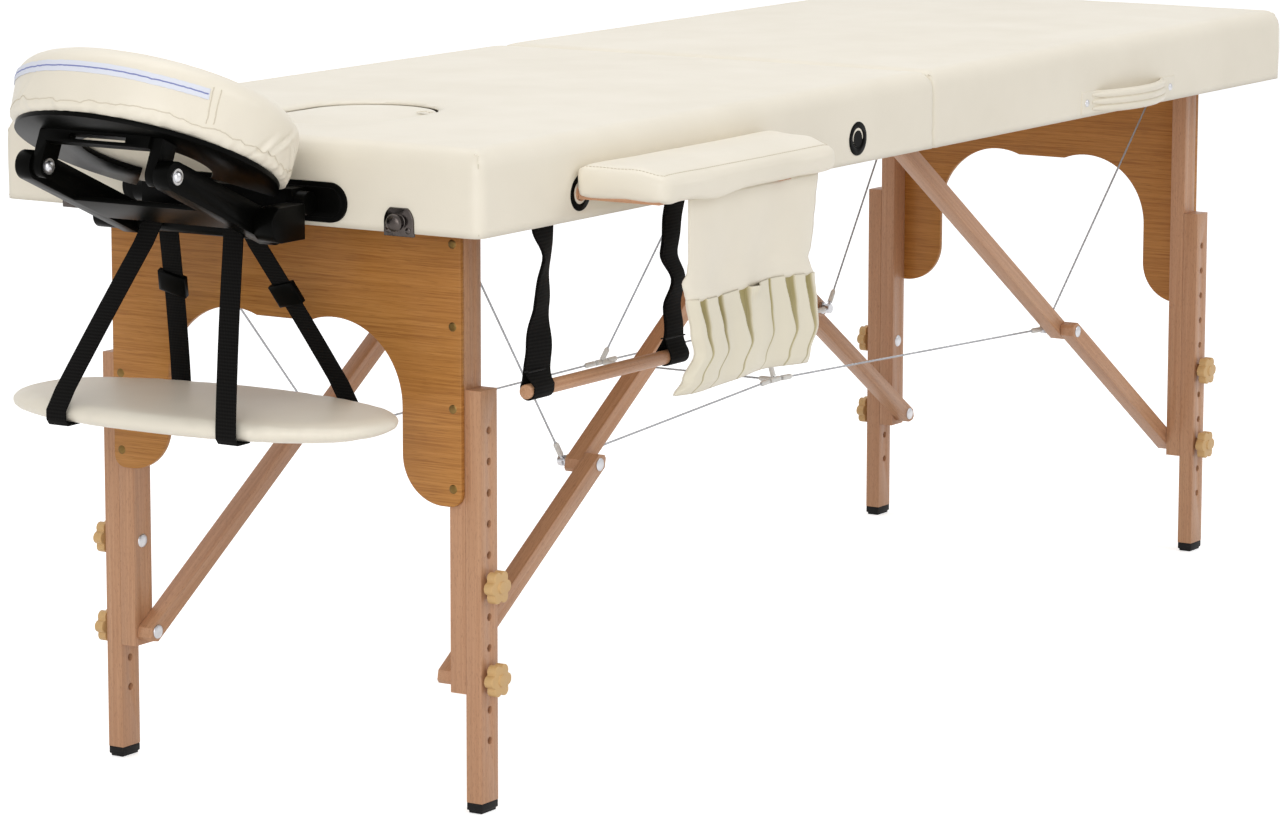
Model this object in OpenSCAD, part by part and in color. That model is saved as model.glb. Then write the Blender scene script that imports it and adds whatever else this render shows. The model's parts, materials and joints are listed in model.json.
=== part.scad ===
// Folding two-section massage table on wooden legs, with a face cradle,
// a hanging arm shelf, a side armrest, a tool pocket and a paper-roll holder.
// X runs along the table towards the foot end, Y across it, Z up.
// The near long side, with the carry handle, is -Y. The floor is Z = 0.

/* [Table top] */
// Length of the open table
table_l = 1850; // [1750:1:1920]
// Width of the table
table_w = 600; // [580:1:660]
// Height of the underside above the floor
under_h = 613; // [613:1:640]
// Height of the wooden rails
rail_h = 51; // [48:1:60]
// Thickness of the wooden rails
rail_t = 20; // [14:1:24]
// Thickness of the plywood deck
deck_t = 5; // [4:0.5:9]
// Thickness of the foam and its cover over the deck
foam_t = 31; // [24:1:60]
// Thickness of the cover on the sides
skin_t = 2; // [1:0.5:3]
// Plan radius of the table's outer corners
corner_r = 25; // [20:1:40]
// Radius of the soft upper edge
edge_r = 16; // [10:1:22]
// Rise of the cushion's crown over its edges
crown = 3; // [1:0.5:6]
// Running gap between pieces of different bodies
gap = 0.3; // [0.2:0.05:0.5]

/* [Face hole] */
// Distance of the face hole from the table's centre
face_x = 722; // [700:1:740]
// Length of the face hole
face_l = 214; // [180:1:230]
// Width of the face hole
face_w = 150; // [130:1:170]
// Gap round the plug in its hole
plug_gap = 1; // [0.5:0.1:2]

/* [Centre hinge] */
// Width of one hinge
hinge_w = 70; // [50:1:90]
// Distance of the outer hinges from the centre line
hinge_y = 200; // [150:1:220]
// Outer diameter of a hinge knuckle
knuckle_d = 8; // [7:0.5:10]
// Diameter of a hinge pin
hinge_pin_d = 4; // [3:0.5:5]
// Thickness of a hinge leaf
leaf_t = 2; // [1.5:0.5:3]
// Length of a hinge leaf
leaf_l = 26; // [20:1:32]

/* [Legs] */
// Distance of the leg pivots from the table's ends
leg_in = 100; // [93:1:110]
// Distance of the plane between the inner and outer posts from the table's sides
leg_side = 76; // [72:1:84]
// Width of a post along the table
post_w = 30; // [26:1:32]
// Thickness of a post across the table
post_t = 19; // [16:1:21]
// Height of the leg pivot above the underside
leg_pivot_h = 23; // [22:1:25]
// Height of the outer posts' upper ends
outer_top = 443; // [420:1:460]
// Height of the inner posts' lower ends
inner_low = 125; // [118:1:128]
// Height of a rubber foot cap
cap_h = 11; // [8:1:16]
// Height of the lowest adjusting hole
hole_low = 76; // [70:1:80]
// Spacing of the adjusting holes
hole_pitch = 32.5; // [30:0.5:34]
// Number of adjusting holes in an outer post
hole_n = 11; // [8:1:11]
// Number of the hole that takes the lower knob, counted from zero
low_knob_hole = 2; // [2]
// Number of the hole that takes the upper knob, counted from zero
high_knob_hole = 5; // [4:1:6]
// Diameter of the knob bolts and pivot pins
bolt_d = 8; // [6:0.5:9]
// Radial clearance of pins and bolts in their bores
bore_gap = 0.1; // [0.05:0.01:0.15]

/* [Knobs] */
// Radius of a knob over its lobes
knob_r = 18; // [15:0.5:20]
// Thickness of a knob
knob_t = 15; // [12:0.5:18]
// Number of lobes on a knob
knob_lobes = 6; // [5:1:8]

/* [Braces] */
// Distance of the upper brace pivots from the table's centre
brace_x = 60; // [55:1:75]
// Height of the upper brace pivot above the underside
brace_h = 36; // [36:1:38]
// Depth of a brace link in its folding plane
link_w = 19; // [16:1:19]
// Length of a link beyond its pivot
link_over = 13; // [12:1:16]

/* [End panels] */
// Thickness of an end panel
panel_t = 7; // [5:0.5:7]
// Drop of the panel's lobes below the underside
panel_drop = 292; // [280:1:300]
// Half width of the arch between the lobes
arch_half = 151; // [140:1:156]
// Height of the arch above the lobes' lower ends
arch_rise = 185; // [170:1:200]
// Radius of the arch's two upper curves
arch_r = 86; // [70:1:90]
// Radius of a lobe's inner lower curve
lobe_r = 50; // [40:1:56]
// Radius of a lobe's outer lower corner
lobe_corner_r = 14; // [8:1:18]

/* [Cables] */
// Diameter of the steel cables
cable_d = 2.6; // [2:0.2:4]
// Distance of the cables' knee ends from the centre line
cable_y = 158; // [152:1:160]
// Height of the clips where the lower cables cross
clip_z = 326; // [310:1:340]
// Distance of the near clip from the centre line
near_clip_y = 92; // [80:1:120]
// Distance of the far clip from the centre line
far_clip_y = 150; // [120:1:152]

/* [Grommets] */
// Distances of the grommets from the table's centre
grommet_xs = [744, 500, 175];
// Height of the grommets above the underside
grommet_h = 28; // [26:1:30]
// Diameter of a grommet's flange
grommet_d = 38; // [34:1:42]
// Diameter of a grommet's sleeve
sleeve_d = 24; // [22:0.5:26]
// Bore of a grommet
grommet_bore = 18; // [16:0.5:19]
// Thickness of a grommet's flange
flange_t = 3; // [2:0.5:4]

/* [Carry handle] */
// Distance of the handle's middle from the table's centre
handle_x = 490; // [460:1:520]
// Length of the handle over its tabs
handle_l = 224; // [190:1:240]
// Height of the handle's band
handle_h = 27; // [22:1:30]
// Bulge of the handle's band away from the table
handle_bulge = 26; // [22:1:34]
// Thickness of the handle's band
handle_t = 5; // [3:0.5:6]

/* [Face cradle] */
// Distance of the cradle's cross rod from the table's end
rod_out = 60; // [56:1:70]
// Height of the cross rod above the table's underside
rod_h = 1; // [0:1:4]
// Diameter of the cross rod's tube
tube_d = 22; // [20:1:24]
// Length of the arms between their pivots
arm_l = 177; // [160:1:185]
// Slope of the arms at rest
arm_slope = 23.6; // [20:0.1:28]
// Outer distance of an arm from the centre line
arm_y = 95; // [85:1:100]
// Thickness of an arm
arm_t = 18; // [14:1:20]
// Depth of an arm
arm_w = 30; // [26:1:34]
// Slope of the face plate at rest
plate_slope = 24; // [20:0.5:28]
// Height of the face plate over its pivot, square to the plate
plate_rise = 39; // [34:1:44]
// Distance of the plate's centre from its pivot, along the plate
plate_ahead = 67; // [62:1:70]
// Outer radius of the face cushion
cushion_r = 147; // [140:1:152]
// Inner radius of the face cushion
cushion_hole_r = 62; // [55:1:68]
// Thickness of the face cushion
cushion_t = 72; // [60:1:80]
// Opening of the cushion towards the table, in degrees
cushion_gap_a = 52; // [40:1:64]
// Thickness of the face plate
plate_t = 5; // [4:0.5:7]
// Distance of the cradle's posts from the centre line
cradle_post_y = 83; // [78:1:88]
// Diameter of the cradle's posts
cradle_post_d = 20; // [18:0.5:22]
// Height of the cradle's posts above the underside
cradle_post_h = 25; // [25:1:27]

/* [Arm shelf] */
// Length of the arm shelf across the table
shelf_l = 470; // [440:1:480]
// Width of the arm shelf
shelf_w = 216; // [200:1:218]
// Thickness of the arm shelf's pad
shelf_t = 19; // [15:1:28]
// Drop of the arm shelf below the cross rod
shelf_drop = 188; // [170:1:200]
// Width of the shelf's straps
strap_w = 25; // [20:1:28]
// Thickness of the webbing
strap_t = 2; // [1.5:0.1:2.5]

/* [Side armrest] */
// Distance of the armrest's head-side end from the table's centre
rest_x = 752; // [742:1:756]
// Length of the armrest at the table
rest_l = 372; // [350:1:400]
// Length of the armrest at its outer edge
rest_outer_l = 324; // [300:1:340]
// Width of the armrest
rest_w = 112; // [100:1:130]
// Thickness of the armrest's pad
rest_pad_t = 34; // [28:1:40]
// Height of the armrest's battens
batten_h = 12; // [10:1:12]
// Width of the armrest's battens
batten_w = 24; // [20:1:26]
// Length of the pegs inside the grommets
peg_l = 38; // [30:1:40]

/* [Tool pocket] */
// Distance of the tool pocket's head-side edge from the table's centre
pocket_x = 680; // [670:1:690]
// Width of the tool pocket
pocket_w = 262; // [240:1:275]
// Length of the tool pocket from its hem to its lower edge
pocket_l = 200; // [180:1:215]
// Height of the pleated strip
pleat_l = 92; // [80:1:110]
// Number of pleats
pleat_n = 8; // [6:1:10]
// Depth of the pleats
pleat_d = 13; // [9:1:16]
// Thickness of the pocket's vinyl
vinyl_t = 1.6; // [1.2:0.1:2]
// Distance of the pocket from the armrest's outer edge
pocket_in = 24; // [22:1:28]

/* [Roll holder] */
// Distance of the roll holder's head-side strap from the table's centre
roll_x = 806; // [796:1:812]
// Distance between the roll holder's straps
roll_span = 262; // [240:1:280]
// Drop of the dowel below the underside
roll_drop = 168; // [150:1:180]
// Diameter of the dowel
dowel_d = 15; // [12:1:20]
// Length of the dowel beyond its straps
dowel_over = 4; // [2:1:12]
// Width of the roll holder's straps
roll_strap_w = 36; // [20:1:38]

/* [Hidden] */
$fn = 48;

// Overrun of every cut
over = 1;
// Thickness of the laminas that a hull joins
lamina = 0.4;

half_l = table_l / 2;
half_w = table_w / 2;
leg_x = half_l - leg_in;
leg_y = half_w - leg_side;
deck_z = under_h + rail_h;
cushion_z = deck_z + deck_t;
top_z = cushion_z + foam_t;
hinge_z = under_h - gap;
seam_r = 6;

leg_z = under_h + leg_pivot_h;
low_bolt_z = hole_low + low_knob_hole * hole_pitch;
high_bolt_z = hole_low + high_knob_hole * hole_pitch;
block_side = 5;
block_w = post_w + 2 * block_side;

// The knee lies on the straight line from pivot to pivot when the leg is
// open, and the upper link lies level under the deck when it is folded.
brace_z = under_h + brace_h;
leg_reach = leg_z - low_bolt_z;
span_x = leg_x - brace_x;
span_z = brace_z - low_bolt_z;
span = sqrt(span_x * span_x + span_z * span_z);
fold_x = span_x - leg_reach;
fold_z = brace_h - leg_pivot_h;
upper_l = (span * span - fold_x * fold_x - fold_z * fold_z) / (2 * (span - fold_x));
lower_l = span - upper_l;
brace_a = atan2(span_z, span_x);
knee_x = brace_x + upper_l * cos(brace_a);
knee_z = brace_z - upper_l * sin(brace_a);
fold_knee_a = atan2(fold_z, upper_l - fold_x);
lower_y = leg_y - post_t;
upper_y = lower_y - link_w;

panel_low = under_h - panel_drop;
panel_top = leg_z + 8;

rod_x = -half_l - rod_out;
rod_z = under_h + rod_h;
arm_tip_x = rod_x - arm_l * cos(arm_slope);
arm_tip_z = rod_z + arm_l * sin(arm_slope);
arm_in = arm_y - arm_t;
ear_t = 12;
ear_share = 0.8;
rod_d = bolt_d;

shelf_top = rod_z - shelf_drop;
shelf_reach = 118;
strap_top_y = 51;
strap_low_y = 100;

peg_d = grommet_bore - 2 * gap;
batten_z = under_h + grommet_h;
rest_back = half_w + flange_t + gap;
pocket_y = rest_back + rest_w - pocket_in;
pocket_top = batten_z - batten_h / 2 - gap;

roll_y = half_w - rail_t / 2;
roll_z = under_h - roll_drop;

bumper_h = 12;
catch_t = 4;
stud_l = 8;
plate_far = cushion_r * cos(plate_slope);
plate_x = arm_tip_x + plate_ahead * cos(plate_slope) + plate_rise * sin(plate_slope);
reach_x = plate_x - plate_far - 4;
origin_x = (reach_x + half_l + catch_t + stud_l) / 2;
origin_y = (half_w + bumper_h - rest_back - rest_w) / 2;

wood = [0.84, 0.66, 0.48];
veneer = [0.80, 0.58, 0.34];
ply = [0.86, 0.74, 0.55];
cream = [0.94, 0.91, 0.82];
black = [0.10, 0.10, 0.10];
steel = [0.72, 0.72, 0.74];
beige = [0.80, 0.70, 0.52];

// Puts the middle of the whole part's footprint at the origin.
module placed() { translate([-origin_x, -origin_y, 0]) children(); }

// Copies for the foot half and for the far side.
module foot_side() { mirror([1, 0, 0]) children(); }
module both_sides() { children(); mirror([0, 1, 0]) children(); }

// A cylinder along Y whose near end is at y.
module y_rod(x, y, z, d, l) { translate([x, y, z]) rotate([-90, 0, 0]) cylinder(d = d, h = l); }

// A cylinder along X whose head-side end is at x.
module x_rod(x, y, z, d, l) { translate([x, y, z]) rotate([0, 90, 0]) cylinder(d = d, h = l); }

// A round bar from point p to point q.
module bar(p, q, d) {
    v = q - p;
    translate(p) rotate([0, acos(v[2] / norm(v)), atan2(v[1], v[0])]) cylinder(d = d, h = norm(v), $fn = 24);
}

// Rectangle from x0 to x1 with its own corner radius at each end.
module end_rounded(x0, x1, w, r0, r1) {
    translate([x0 + r0, -w / 2]) square([x1 - x0 - r0 - r1, w]);
    translate([x0, -w / 2 + r0]) square([r0 + over, w - 2 * r0]);
    translate([x1 - r1 - over, -w / 2 + r1]) square([r1 + over, w - 2 * r1]);
    for (s = [-1, 1]) {
        translate([x0 + r0, s * (w / 2 - r0)]) circle(r = r0);
        translate([x1 - r1, s * (w / 2 - r1)]) circle(r = r1);
    }
}

// Stadium of length l along X.
module stadium(l, w) {
    square([l - w, w], center = true);
    for (s = [-1, 1]) translate([s * (l - w) / 2, 0]) circle(d = w);
}

// ---- the two halves of the table, drawn for the head half ----

// Outline of one half, drawn in from its sides and from the centre seam.
module half_outline(inset, seam_in) {
    end_rounded(-half_l + inset, -gap - seam_in, table_w - 2 * inset,
        corner_r - min(inset, corner_r - seam_r), seam_r);
}

module cushion_level(z, inset, seam_in) {
    translate([0, 0, z]) linear_extrude(lamina) half_outline(inset, seam_in, $fn = 32);
}

// The frame of rails, with its outline inside the cover.
module frame_outline() {
    end_rounded(-half_l + skin_t, -gap, table_w - 2 * skin_t, corner_r - skin_t, seam_r);
}

module face_hole(h0, h1, grow) {
    translate([-face_x, 0, h0]) linear_extrude(h1 - h0) stadium(face_l + 2 * grow, face_w + 2 * grow);
}

// Every hinge place across the table.
module hinge_places() { for (y = [-hinge_y, 0, hinge_y]) translate([0, y, 0]) children(); }

eye_r = 14;
eye_w = 5;

module half_frame() {
    difference() {
        translate([0, 0, under_h]) linear_extrude(rail_h) difference() {
            frame_outline();
            translate([-half_l + skin_t + rail_t, -half_w + skin_t + rail_t])
                square([half_l - skin_t - 2 * rail_t - gap, table_w - 2 * skin_t - 2 * rail_t]);
            // butt joints between the side rails and the end rails
            for (y = [-1, 1], x = [-half_l, -rail_t - 2 * gap])
                translate([x, y * (half_w - skin_t - rail_t - gap / 2) - gap / 2]) square([skin_t + rail_t + 2 * gap, gap]);
        }
        // room for the hinge knuckles, the leaves and the cable eye
        hinge_places() {
            y_rod(0, -hinge_w / 2 - gap, hinge_z, knuckle_d + 2 * gap, hinge_w + 2 * gap);
            translate([-leaf_l - gap, -hinge_w / 2 - gap, under_h - over])
                cube([leaf_l + 2 * gap, hinge_w + 2 * gap, leaf_t + over]);
        }
        y_rod(0, -eye_w / 2 - gap, hinge_z, 2 * (eye_r + gap), eye_w + 2 * gap);
    }
    // blocks that carry the leg pivots
    both_sides() difference() {
        translate([-leg_x - block_w / 2, leg_y + gap, leg_z - block_w / 2])
            cube([block_w, half_w - skin_t - rail_t - leg_y - gap, deck_z - leg_z + block_w / 2]);
        y_rod(-leg_x, leg_y - over, leg_z, bolt_d + 2 * bore_gap, half_w - leg_y);
    }
    // blocks that carry the upper brace pivots
    both_sides() difference() {
        translate([-brace_x - block_w / 2, lower_y - link_w + gap, brace_z - block_w / 4])
            cube([block_w, link_w - gap, deck_z - brace_z + block_w / 4]);
        y_rod(-brace_x, upper_y - over, brace_z, bolt_d + 2 * bore_gap, 2 * link_w);
    }
}

module side_grommet_holes(d) {
    for (x = grommet_xs) y_rod(-x, -half_w - over, batten_z, d, table_w + 2 * over);
}

module cradle_post_holes(d) {
    for (s = [-1, 1]) x_rod(-half_l - over, s * cradle_post_y, under_h + cradle_post_h, d, rail_t + skin_t + 2 * over);
}

module head_frame() color(wood) placed() difference() {
    half_frame();
    side_grommet_holes(sleeve_d);
    cradle_post_holes(cradle_post_d + 2 * gap);
}

module foot_frame() color(wood) placed() foot_side() half_frame();

module half_deck() { translate([0, 0, deck_z]) linear_extrude(deck_t) frame_outline(); }

module head_deck() color(ply) placed() difference() {
    half_deck();
    face_hole(deck_z - over, cushion_z + over, 0);
}

module foot_deck() color(ply) placed() foot_side() half_deck();

// The cover and its foam: straight sides, a soft upper edge and a low crown,
// over a pocket that the rails and the deck fill.
module half_upholstery() {
    difference() {
        hull() {
            cushion_level(under_h, 0, 0);
            cushion_level(top_z - edge_r, 0, 0);
            for (a = [25, 50, 75]) cushion_level(top_z - edge_r * (1 - sin(a)) - lamina,
                edge_r * (1 - cos(a)), edge_r * (1 - cos(a)) / 2);
            cushion_level(top_z + crown / 2, 2 * edge_r, edge_r);
            cushion_level(top_z + crown - lamina, 5 * edge_r, 2 * edge_r);
        }
        translate([0, 0, under_h - over]) linear_extrude(rail_h + deck_t + over) {
            frame_outline();
            translate([-half_w, -half_w + skin_t]) square([half_w + over, table_w - 2 * skin_t]);
        }
        // seams between the padded top, the side bands and the end band
        translate([-half_l - over, -half_w - over, cushion_z - gap]) cube([half_l + 2 * over, table_w + 2 * over, gap]);
        for (s = [-1, 1]) translate([-half_l - over, s * (half_w - corner_r) - gap / 2, under_h - over])
            cube([skin_t + 2 * over, gap, cushion_z - under_h + over]);
    }
}

module head_upholstery() color(cream) placed() difference() {
    half_upholstery();
    face_hole(cushion_z - over, top_z + crown + over, 0);
    side_grommet_holes(sleeve_d);
    cradle_post_holes(cradle_post_d + 2 * gap);
}

module foot_upholstery() color(cream) placed() foot_side() half_upholstery();

// The plug of the face hole, crowned like the table, with a pull tab.
module face_plug() color(cream) placed() translate([-face_x, 0, 0]) {
    translate([0, 0, deck_z]) linear_extrude(top_z - deck_z) stadium(face_l - 2 * plug_gap, face_w - 2 * plug_gap);
    translate([0, 0, top_z - over]) linear_extrude(over + crown / 2)
        stadium(face_l - 2 * plug_gap - edge_r / 2, face_w - 2 * plug_gap - edge_r / 2);
    translate([0, 0, top_z]) linear_extrude(crown)
        stadium(face_l - 2 * plug_gap - edge_r, face_w - 2 * plug_gap - edge_r);
}

// ---- steel fittings ----

// The knuckles of one leaf: the head leaf has the odd ones, the foot leaf the even.
module knuckles(first) {
    n = 5;
    w = hinge_w / n;
    difference() {
        union() {
            for (i = [first:2:n - 1]) y_rod(0, -hinge_w / 2 + i * w + gap / 2, hinge_z, knuckle_d, w - gap);
            for (i = [first:2:n - 1]) translate([-leaf_l, -hinge_w / 2 + i * w + gap / 2, under_h])
                cube([leaf_l - hinge_pin_d / 2 - bore_gap, w - gap, leaf_t]);
            translate([-leaf_l, -hinge_w / 2, under_h]) cube([leaf_l - knuckle_d, hinge_w, leaf_t]);
        }
        y_rod(0, -hinge_w, hinge_z, hinge_pin_d + 2 * bore_gap, 2 * hinge_w);
    }
}

// The middle hinge leaves room for the cable eye on its pin.
module leaf_set(first) {
    difference() {
        hinge_places() knuckles(first);
        y_rod(0, -eye_w / 2 - gap, hinge_z, 2 * (eye_r + gap), eye_w + 2 * gap);
    }
}

module half_pins() {
    both_sides() {
        y_rod(-leg_x, lower_y + gap, leg_z, bolt_d, half_w - skin_t - rail_t - lower_y - 2 * gap);
        y_rod(-brace_x, upper_y - link_w + gap, brace_z, bolt_d, 2 * link_w - 2 * gap);
    }
}

module head_fittings() color(steel) placed() {
    leaf_set(0);
    half_pins();
}

module foot_fittings() color(steel) placed() foot_side() {
    leaf_set(1);
    half_pins();
}

// Pins of the centre hinges, with the eye that carries the hanging cables.
module hinge_pins() color(steel) placed() {
    hinge_places() y_rod(0, -hinge_w / 2, hinge_z, hinge_pin_d, hinge_w);
    difference() {
        hull_free_eye();
        y_rod(0, -eye_w, hinge_z - eye_r + cable_d + gap, cable_d + 2 * gap, 2 * eye_w);
    }
}

module hull_free_eye() {
    y_rod(0, -eye_w / 2, hinge_z, knuckle_d, eye_w);
    translate([-knuckle_d / 2, -eye_w / 2, hinge_z - eye_r + knuckle_d / 2]) cube([knuckle_d, eye_w, eye_r - knuckle_d / 2]);
    y_rod(0, -eye_w / 2, hinge_z - eye_r + knuckle_d / 2, knuckle_d, eye_w);
}

// ---- head-end plate, catches, grommets and bumpers ----

plate_l = 284;
plate_h = 41;
escutcheon_t = 6;

module escutcheon() color(black) placed() difference() {
    union() {
        translate([-half_l - escutcheon_t, 0, under_h + cradle_post_h]) rotate([90, 0, 90])
            linear_extrude(escutcheon_t) stadium(plate_l, plate_h);
        translate([-half_l - escutcheon_t - over, 0, under_h + cradle_post_h]) rotate([90, 0, 90])
            linear_extrude(over + lamina) stadium(plate_l - plate_h / 4, plate_h - plate_h / 4);
    }
    for (s = [-1, 1]) x_rod(-half_l - 2 * escutcheon_t, s * cradle_post_y, under_h + cradle_post_h,
        cradle_post_d + 2 * gap, 3 * escutcheon_t);
}

catch_y = 205;
catch_w = 36;
catch_h = 29;
stud_d = 15;
catch_up = 11;
catch_z = under_h + catch_up;
// The foot end's plates clear the head end's when the halves close
catch_step = catch_h - 2 * catch_up + gap;

// D-shaped catch plates with a round stud, on an end of the table.
module half_catches(z) {
    both_sides() {
        translate([-half_l - catch_t, catch_y, z]) rotate([90, 0, 90]) linear_extrude(catch_t) {
            translate([-catch_w / 2, -catch_h / 2]) square([catch_w, catch_h / 2]);
            intersection() {
                circle(d = catch_w);
                translate([-catch_w / 2, -over]) square([catch_w, catch_h / 2 + over]);
            }
        }
        x_rod(-half_l - catch_t - stud_l, catch_y, z, stud_d, stud_l + lamina);
    }
}

module head_catches() color(steel) placed() half_catches(catch_z);
module foot_catches() color(steel) placed() foot_side() half_catches(catch_z + catch_step);

bumper_d = 20;
bumper_x = 908;
bumper_in_x = 60;

module half_bumpers() {
    for (x = [bumper_x - bumper_d / 2, bumper_in_x]) translate([-x, half_w, batten_z + flange_t]) rotate([-90, 0, 0]) {
        cylinder(d = bumper_d, h = bumper_h * 0.6);
        cylinder(d = bumper_d * 0.7, h = bumper_h);
    }
}

module head_trim() color(black) placed() {
    both_sides() for (x = grommet_xs) difference() {
        union() {
            y_rod(-x, -half_w - flange_t, batten_z, grommet_d, flange_t);
            y_rod(-x, -half_w - gap, batten_z, sleeve_d, skin_t + rail_t + gap);
        }
        y_rod(-x, -half_w - 2 * flange_t, batten_z, grommet_bore, 2 * sleeve_d);
        y_rod(-x, -half_w - flange_t - over, batten_z, sleeve_d, 2 * over);
    }
    half_bumpers();
}

module foot_bumpers() color(black) placed() foot_side() half_bumpers();

// ---- carry handle ----

tab_w = 28;
tab_t = 2.5;
handle_up = 17;
handle_z = under_h + handle_up;

module carry_handle() color(cream) placed() translate([handle_x, -half_w, handle_z]) {
    chord = handle_l - tab_w;
    rad = (chord * chord / 4 + handle_bulge * handle_bulge) / (2 * handle_bulge);
    for (s = [-1, 1]) translate([s * (handle_l - tab_w) / 2 - tab_w / 2, -tab_t, -handle_h / 2 - tab_t])
        cube([tab_w, tab_t, handle_h + 2 * tab_t]);
    translate([0, 0, -handle_h / 2]) linear_extrude(handle_h) intersection() {
        translate([0, rad - handle_bulge]) difference() {
            circle(r = rad, $fn = 96);
            circle(r = rad - handle_t, $fn = 96);
        }
        translate([-handle_l / 2, -handle_bulge - over]) square([handle_l, handle_bulge + over]);
    }
}

// ---- legs, drawn for the near head leg ----

module bolt_bore(z) { y_rod(-leg_x, -half_w, z, bolt_d + 2 * bore_gap, half_w); }

module inner_post() {
    difference() {
        union() {
            translate([-leg_x - post_w / 2, -leg_y, inner_low]) cube([post_w, post_t, leg_z - inner_low]);
            y_rod(-leg_x, -leg_y, leg_z, post_w, post_t);
        }
        for (z = [low_bolt_z, high_bolt_z, leg_z]) bolt_bore(z);
        y_rod(-leg_x, -lower_y - head_t, high_bolt_z, head_d + 2 * bore_gap, head_t + over);
    }
}

module outer_post() {
    difference() {
        translate([-leg_x - post_w / 2, -leg_y - gap - post_t, cap_h]) cube([post_w, post_t, outer_top - cap_h]);
        for (i = [0:hole_n - 1]) bolt_bore(hole_low + i * hole_pitch);
    }
}

cap_round = 3;

module cap() {
    translate([-leg_x, -leg_y - gap - post_t / 2, 0]) {
        translate([-post_w / 2, -post_t / 2, cap_round]) cube([post_w, post_t, cap_h - cap_round]);
        translate([-post_w / 2 + cap_round / 2, -post_t / 2 + cap_round / 2, 0])
            cube([post_w - cap_round, post_t - cap_round, cap_round]);
    }
}

// Star knob with its threaded sleeve. The sleeve ends at the sliding face.
module knob(z) {
    lobe_r = knob_r * 0.36;
    y0 = -leg_y - 2 * gap - post_t;
    hub = knob_t * 0.3;
    translate([-leg_x, y0, z]) rotate([90, 0, 0]) {
        cylinder(d = 2 * bolt_d, h = hub);
        translate([0, 0, hub]) linear_extrude(knob_t - hub) {
            circle(r = knob_r * 0.78);
            for (i = [0:knob_lobes - 1]) rotate(i * 360 / knob_lobes) translate([knob_r - lobe_r, 0]) circle(r = lobe_r);
        }
        translate([0, 0, knob_t - lamina]) cylinder(d = 1.6 * bolt_d, h = hub / 2);
        mirror([0, 0, 1]) cylinder(d = bolt_d, h = post_t);
    }
}

head_d = 15;
head_t = 5;

// Bolts through the inner posts. The lower one also carries the brace, and
// both have sunk heads, which the folded brace passes.
module leg_bolts() {
    y_rod(-leg_x, -leg_y, high_bolt_z, bolt_d, post_t - gap);
    y_rod(-leg_x, -lower_y - head_t, high_bolt_z, head_d, head_t - gap);
    y_rod(-leg_x, -leg_y, low_bolt_z, bolt_d, post_t + link_w - gap);
    y_rod(-leg_x, -upper_y - head_t, low_bolt_z, head_d, head_t - gap);
}

module head_inner_posts() color(wood) placed() both_sides() inner_post();
module foot_inner_posts() color(wood) placed() foot_side() both_sides() inner_post();
module head_leg_bolts() color(steel) placed() both_sides() leg_bolts();
module foot_leg_bolts() color(steel) placed() foot_side() both_sides() leg_bolts();

module head_near_post() color(wood) placed() outer_post();
module head_far_post() color(wood) placed() mirror([0, 1, 0]) outer_post();
module foot_near_post() color(wood) placed() foot_side() outer_post();
module foot_far_post() color(wood) placed() foot_side() mirror([0, 1, 0]) outer_post();
module head_near_cap() color(black) placed() cap();
module head_far_cap() color(black) placed() mirror([0, 1, 0]) cap();
module foot_near_cap() color(black) placed() foot_side() cap();
module foot_far_cap() color(black) placed() foot_side() mirror([0, 1, 0]) cap();

module head_near_knob_low() color(beige) placed() knob(low_bolt_z);
module head_near_knob_high() color(beige) placed() knob(high_bolt_z);
module head_far_knob_low() color(beige) placed() mirror([0, 1, 0]) knob(low_bolt_z);
module head_far_knob_high() color(beige) placed() mirror([0, 1, 0]) knob(high_bolt_z);
module foot_near_knob_low() color(beige) placed() foot_side() knob(low_bolt_z);
module foot_near_knob_high() color(beige) placed() foot_side() knob(high_bolt_z);
module foot_far_knob_low() color(beige) placed() foot_side() mirror([0, 1, 0]) knob(low_bolt_z);
module foot_far_knob_high() color(beige) placed() foot_side() mirror([0, 1, 0]) knob(high_bolt_z);

// ---- end panels ----

// Outline in the YZ plane: two rounded lobes under a board with a double arch.
module panel_outline() {
    lobe_top = panel_low + lobe_r;
    arch_z = panel_low + arch_rise;
    side = leg_y - arch_half;
    difference() {
        translate([-leg_y, lobe_top]) square([2 * leg_y, panel_top - lobe_top]);
        translate([-arch_half, lobe_top - over]) square([2 * arch_half, arch_rise - lobe_r - arch_r + over]);
        for (s = [-1, 1]) translate([s * (arch_half - arch_r), arch_z - arch_r]) circle(r = arch_r, $fn = 96);
        translate([-arch_half + arch_r, lobe_top]) square([2 * (arch_half - arch_r), arch_rise - lobe_r - arch_r * 0.07]);
    }
    for (s = [0, 1]) mirror([s, 0]) {
        translate([arch_half + lobe_r, lobe_top]) intersection() {
            circle(r = lobe_r, $fn = 96);
            translate([-lobe_r, -lobe_r]) square([lobe_r + over / 4, lobe_r + over / 4]);
        }
        translate([arch_half + lobe_r, panel_low]) square([side - lobe_r - lobe_corner_r, lobe_r + over / 4]);
        translate([leg_y - lobe_corner_r - over, panel_low + lobe_corner_r])
            square([lobe_corner_r + over, lobe_r - lobe_corner_r + over / 4]);
        translate([leg_y - lobe_corner_r, panel_low + lobe_corner_r]) circle(r = lobe_corner_r);
    }
}

module panel() {
    translate([-leg_x - post_w / 2 - panel_t, 0, 0]) rotate([90, 0, 90]) linear_extrude(panel_t) panel_outline();
}

module head_panel() color(veneer) placed() panel();
module foot_panel() color(veneer) placed() foot_side() panel();

// ---- braces, drawn for the near head side ----

cut_share = 0.38;

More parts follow.
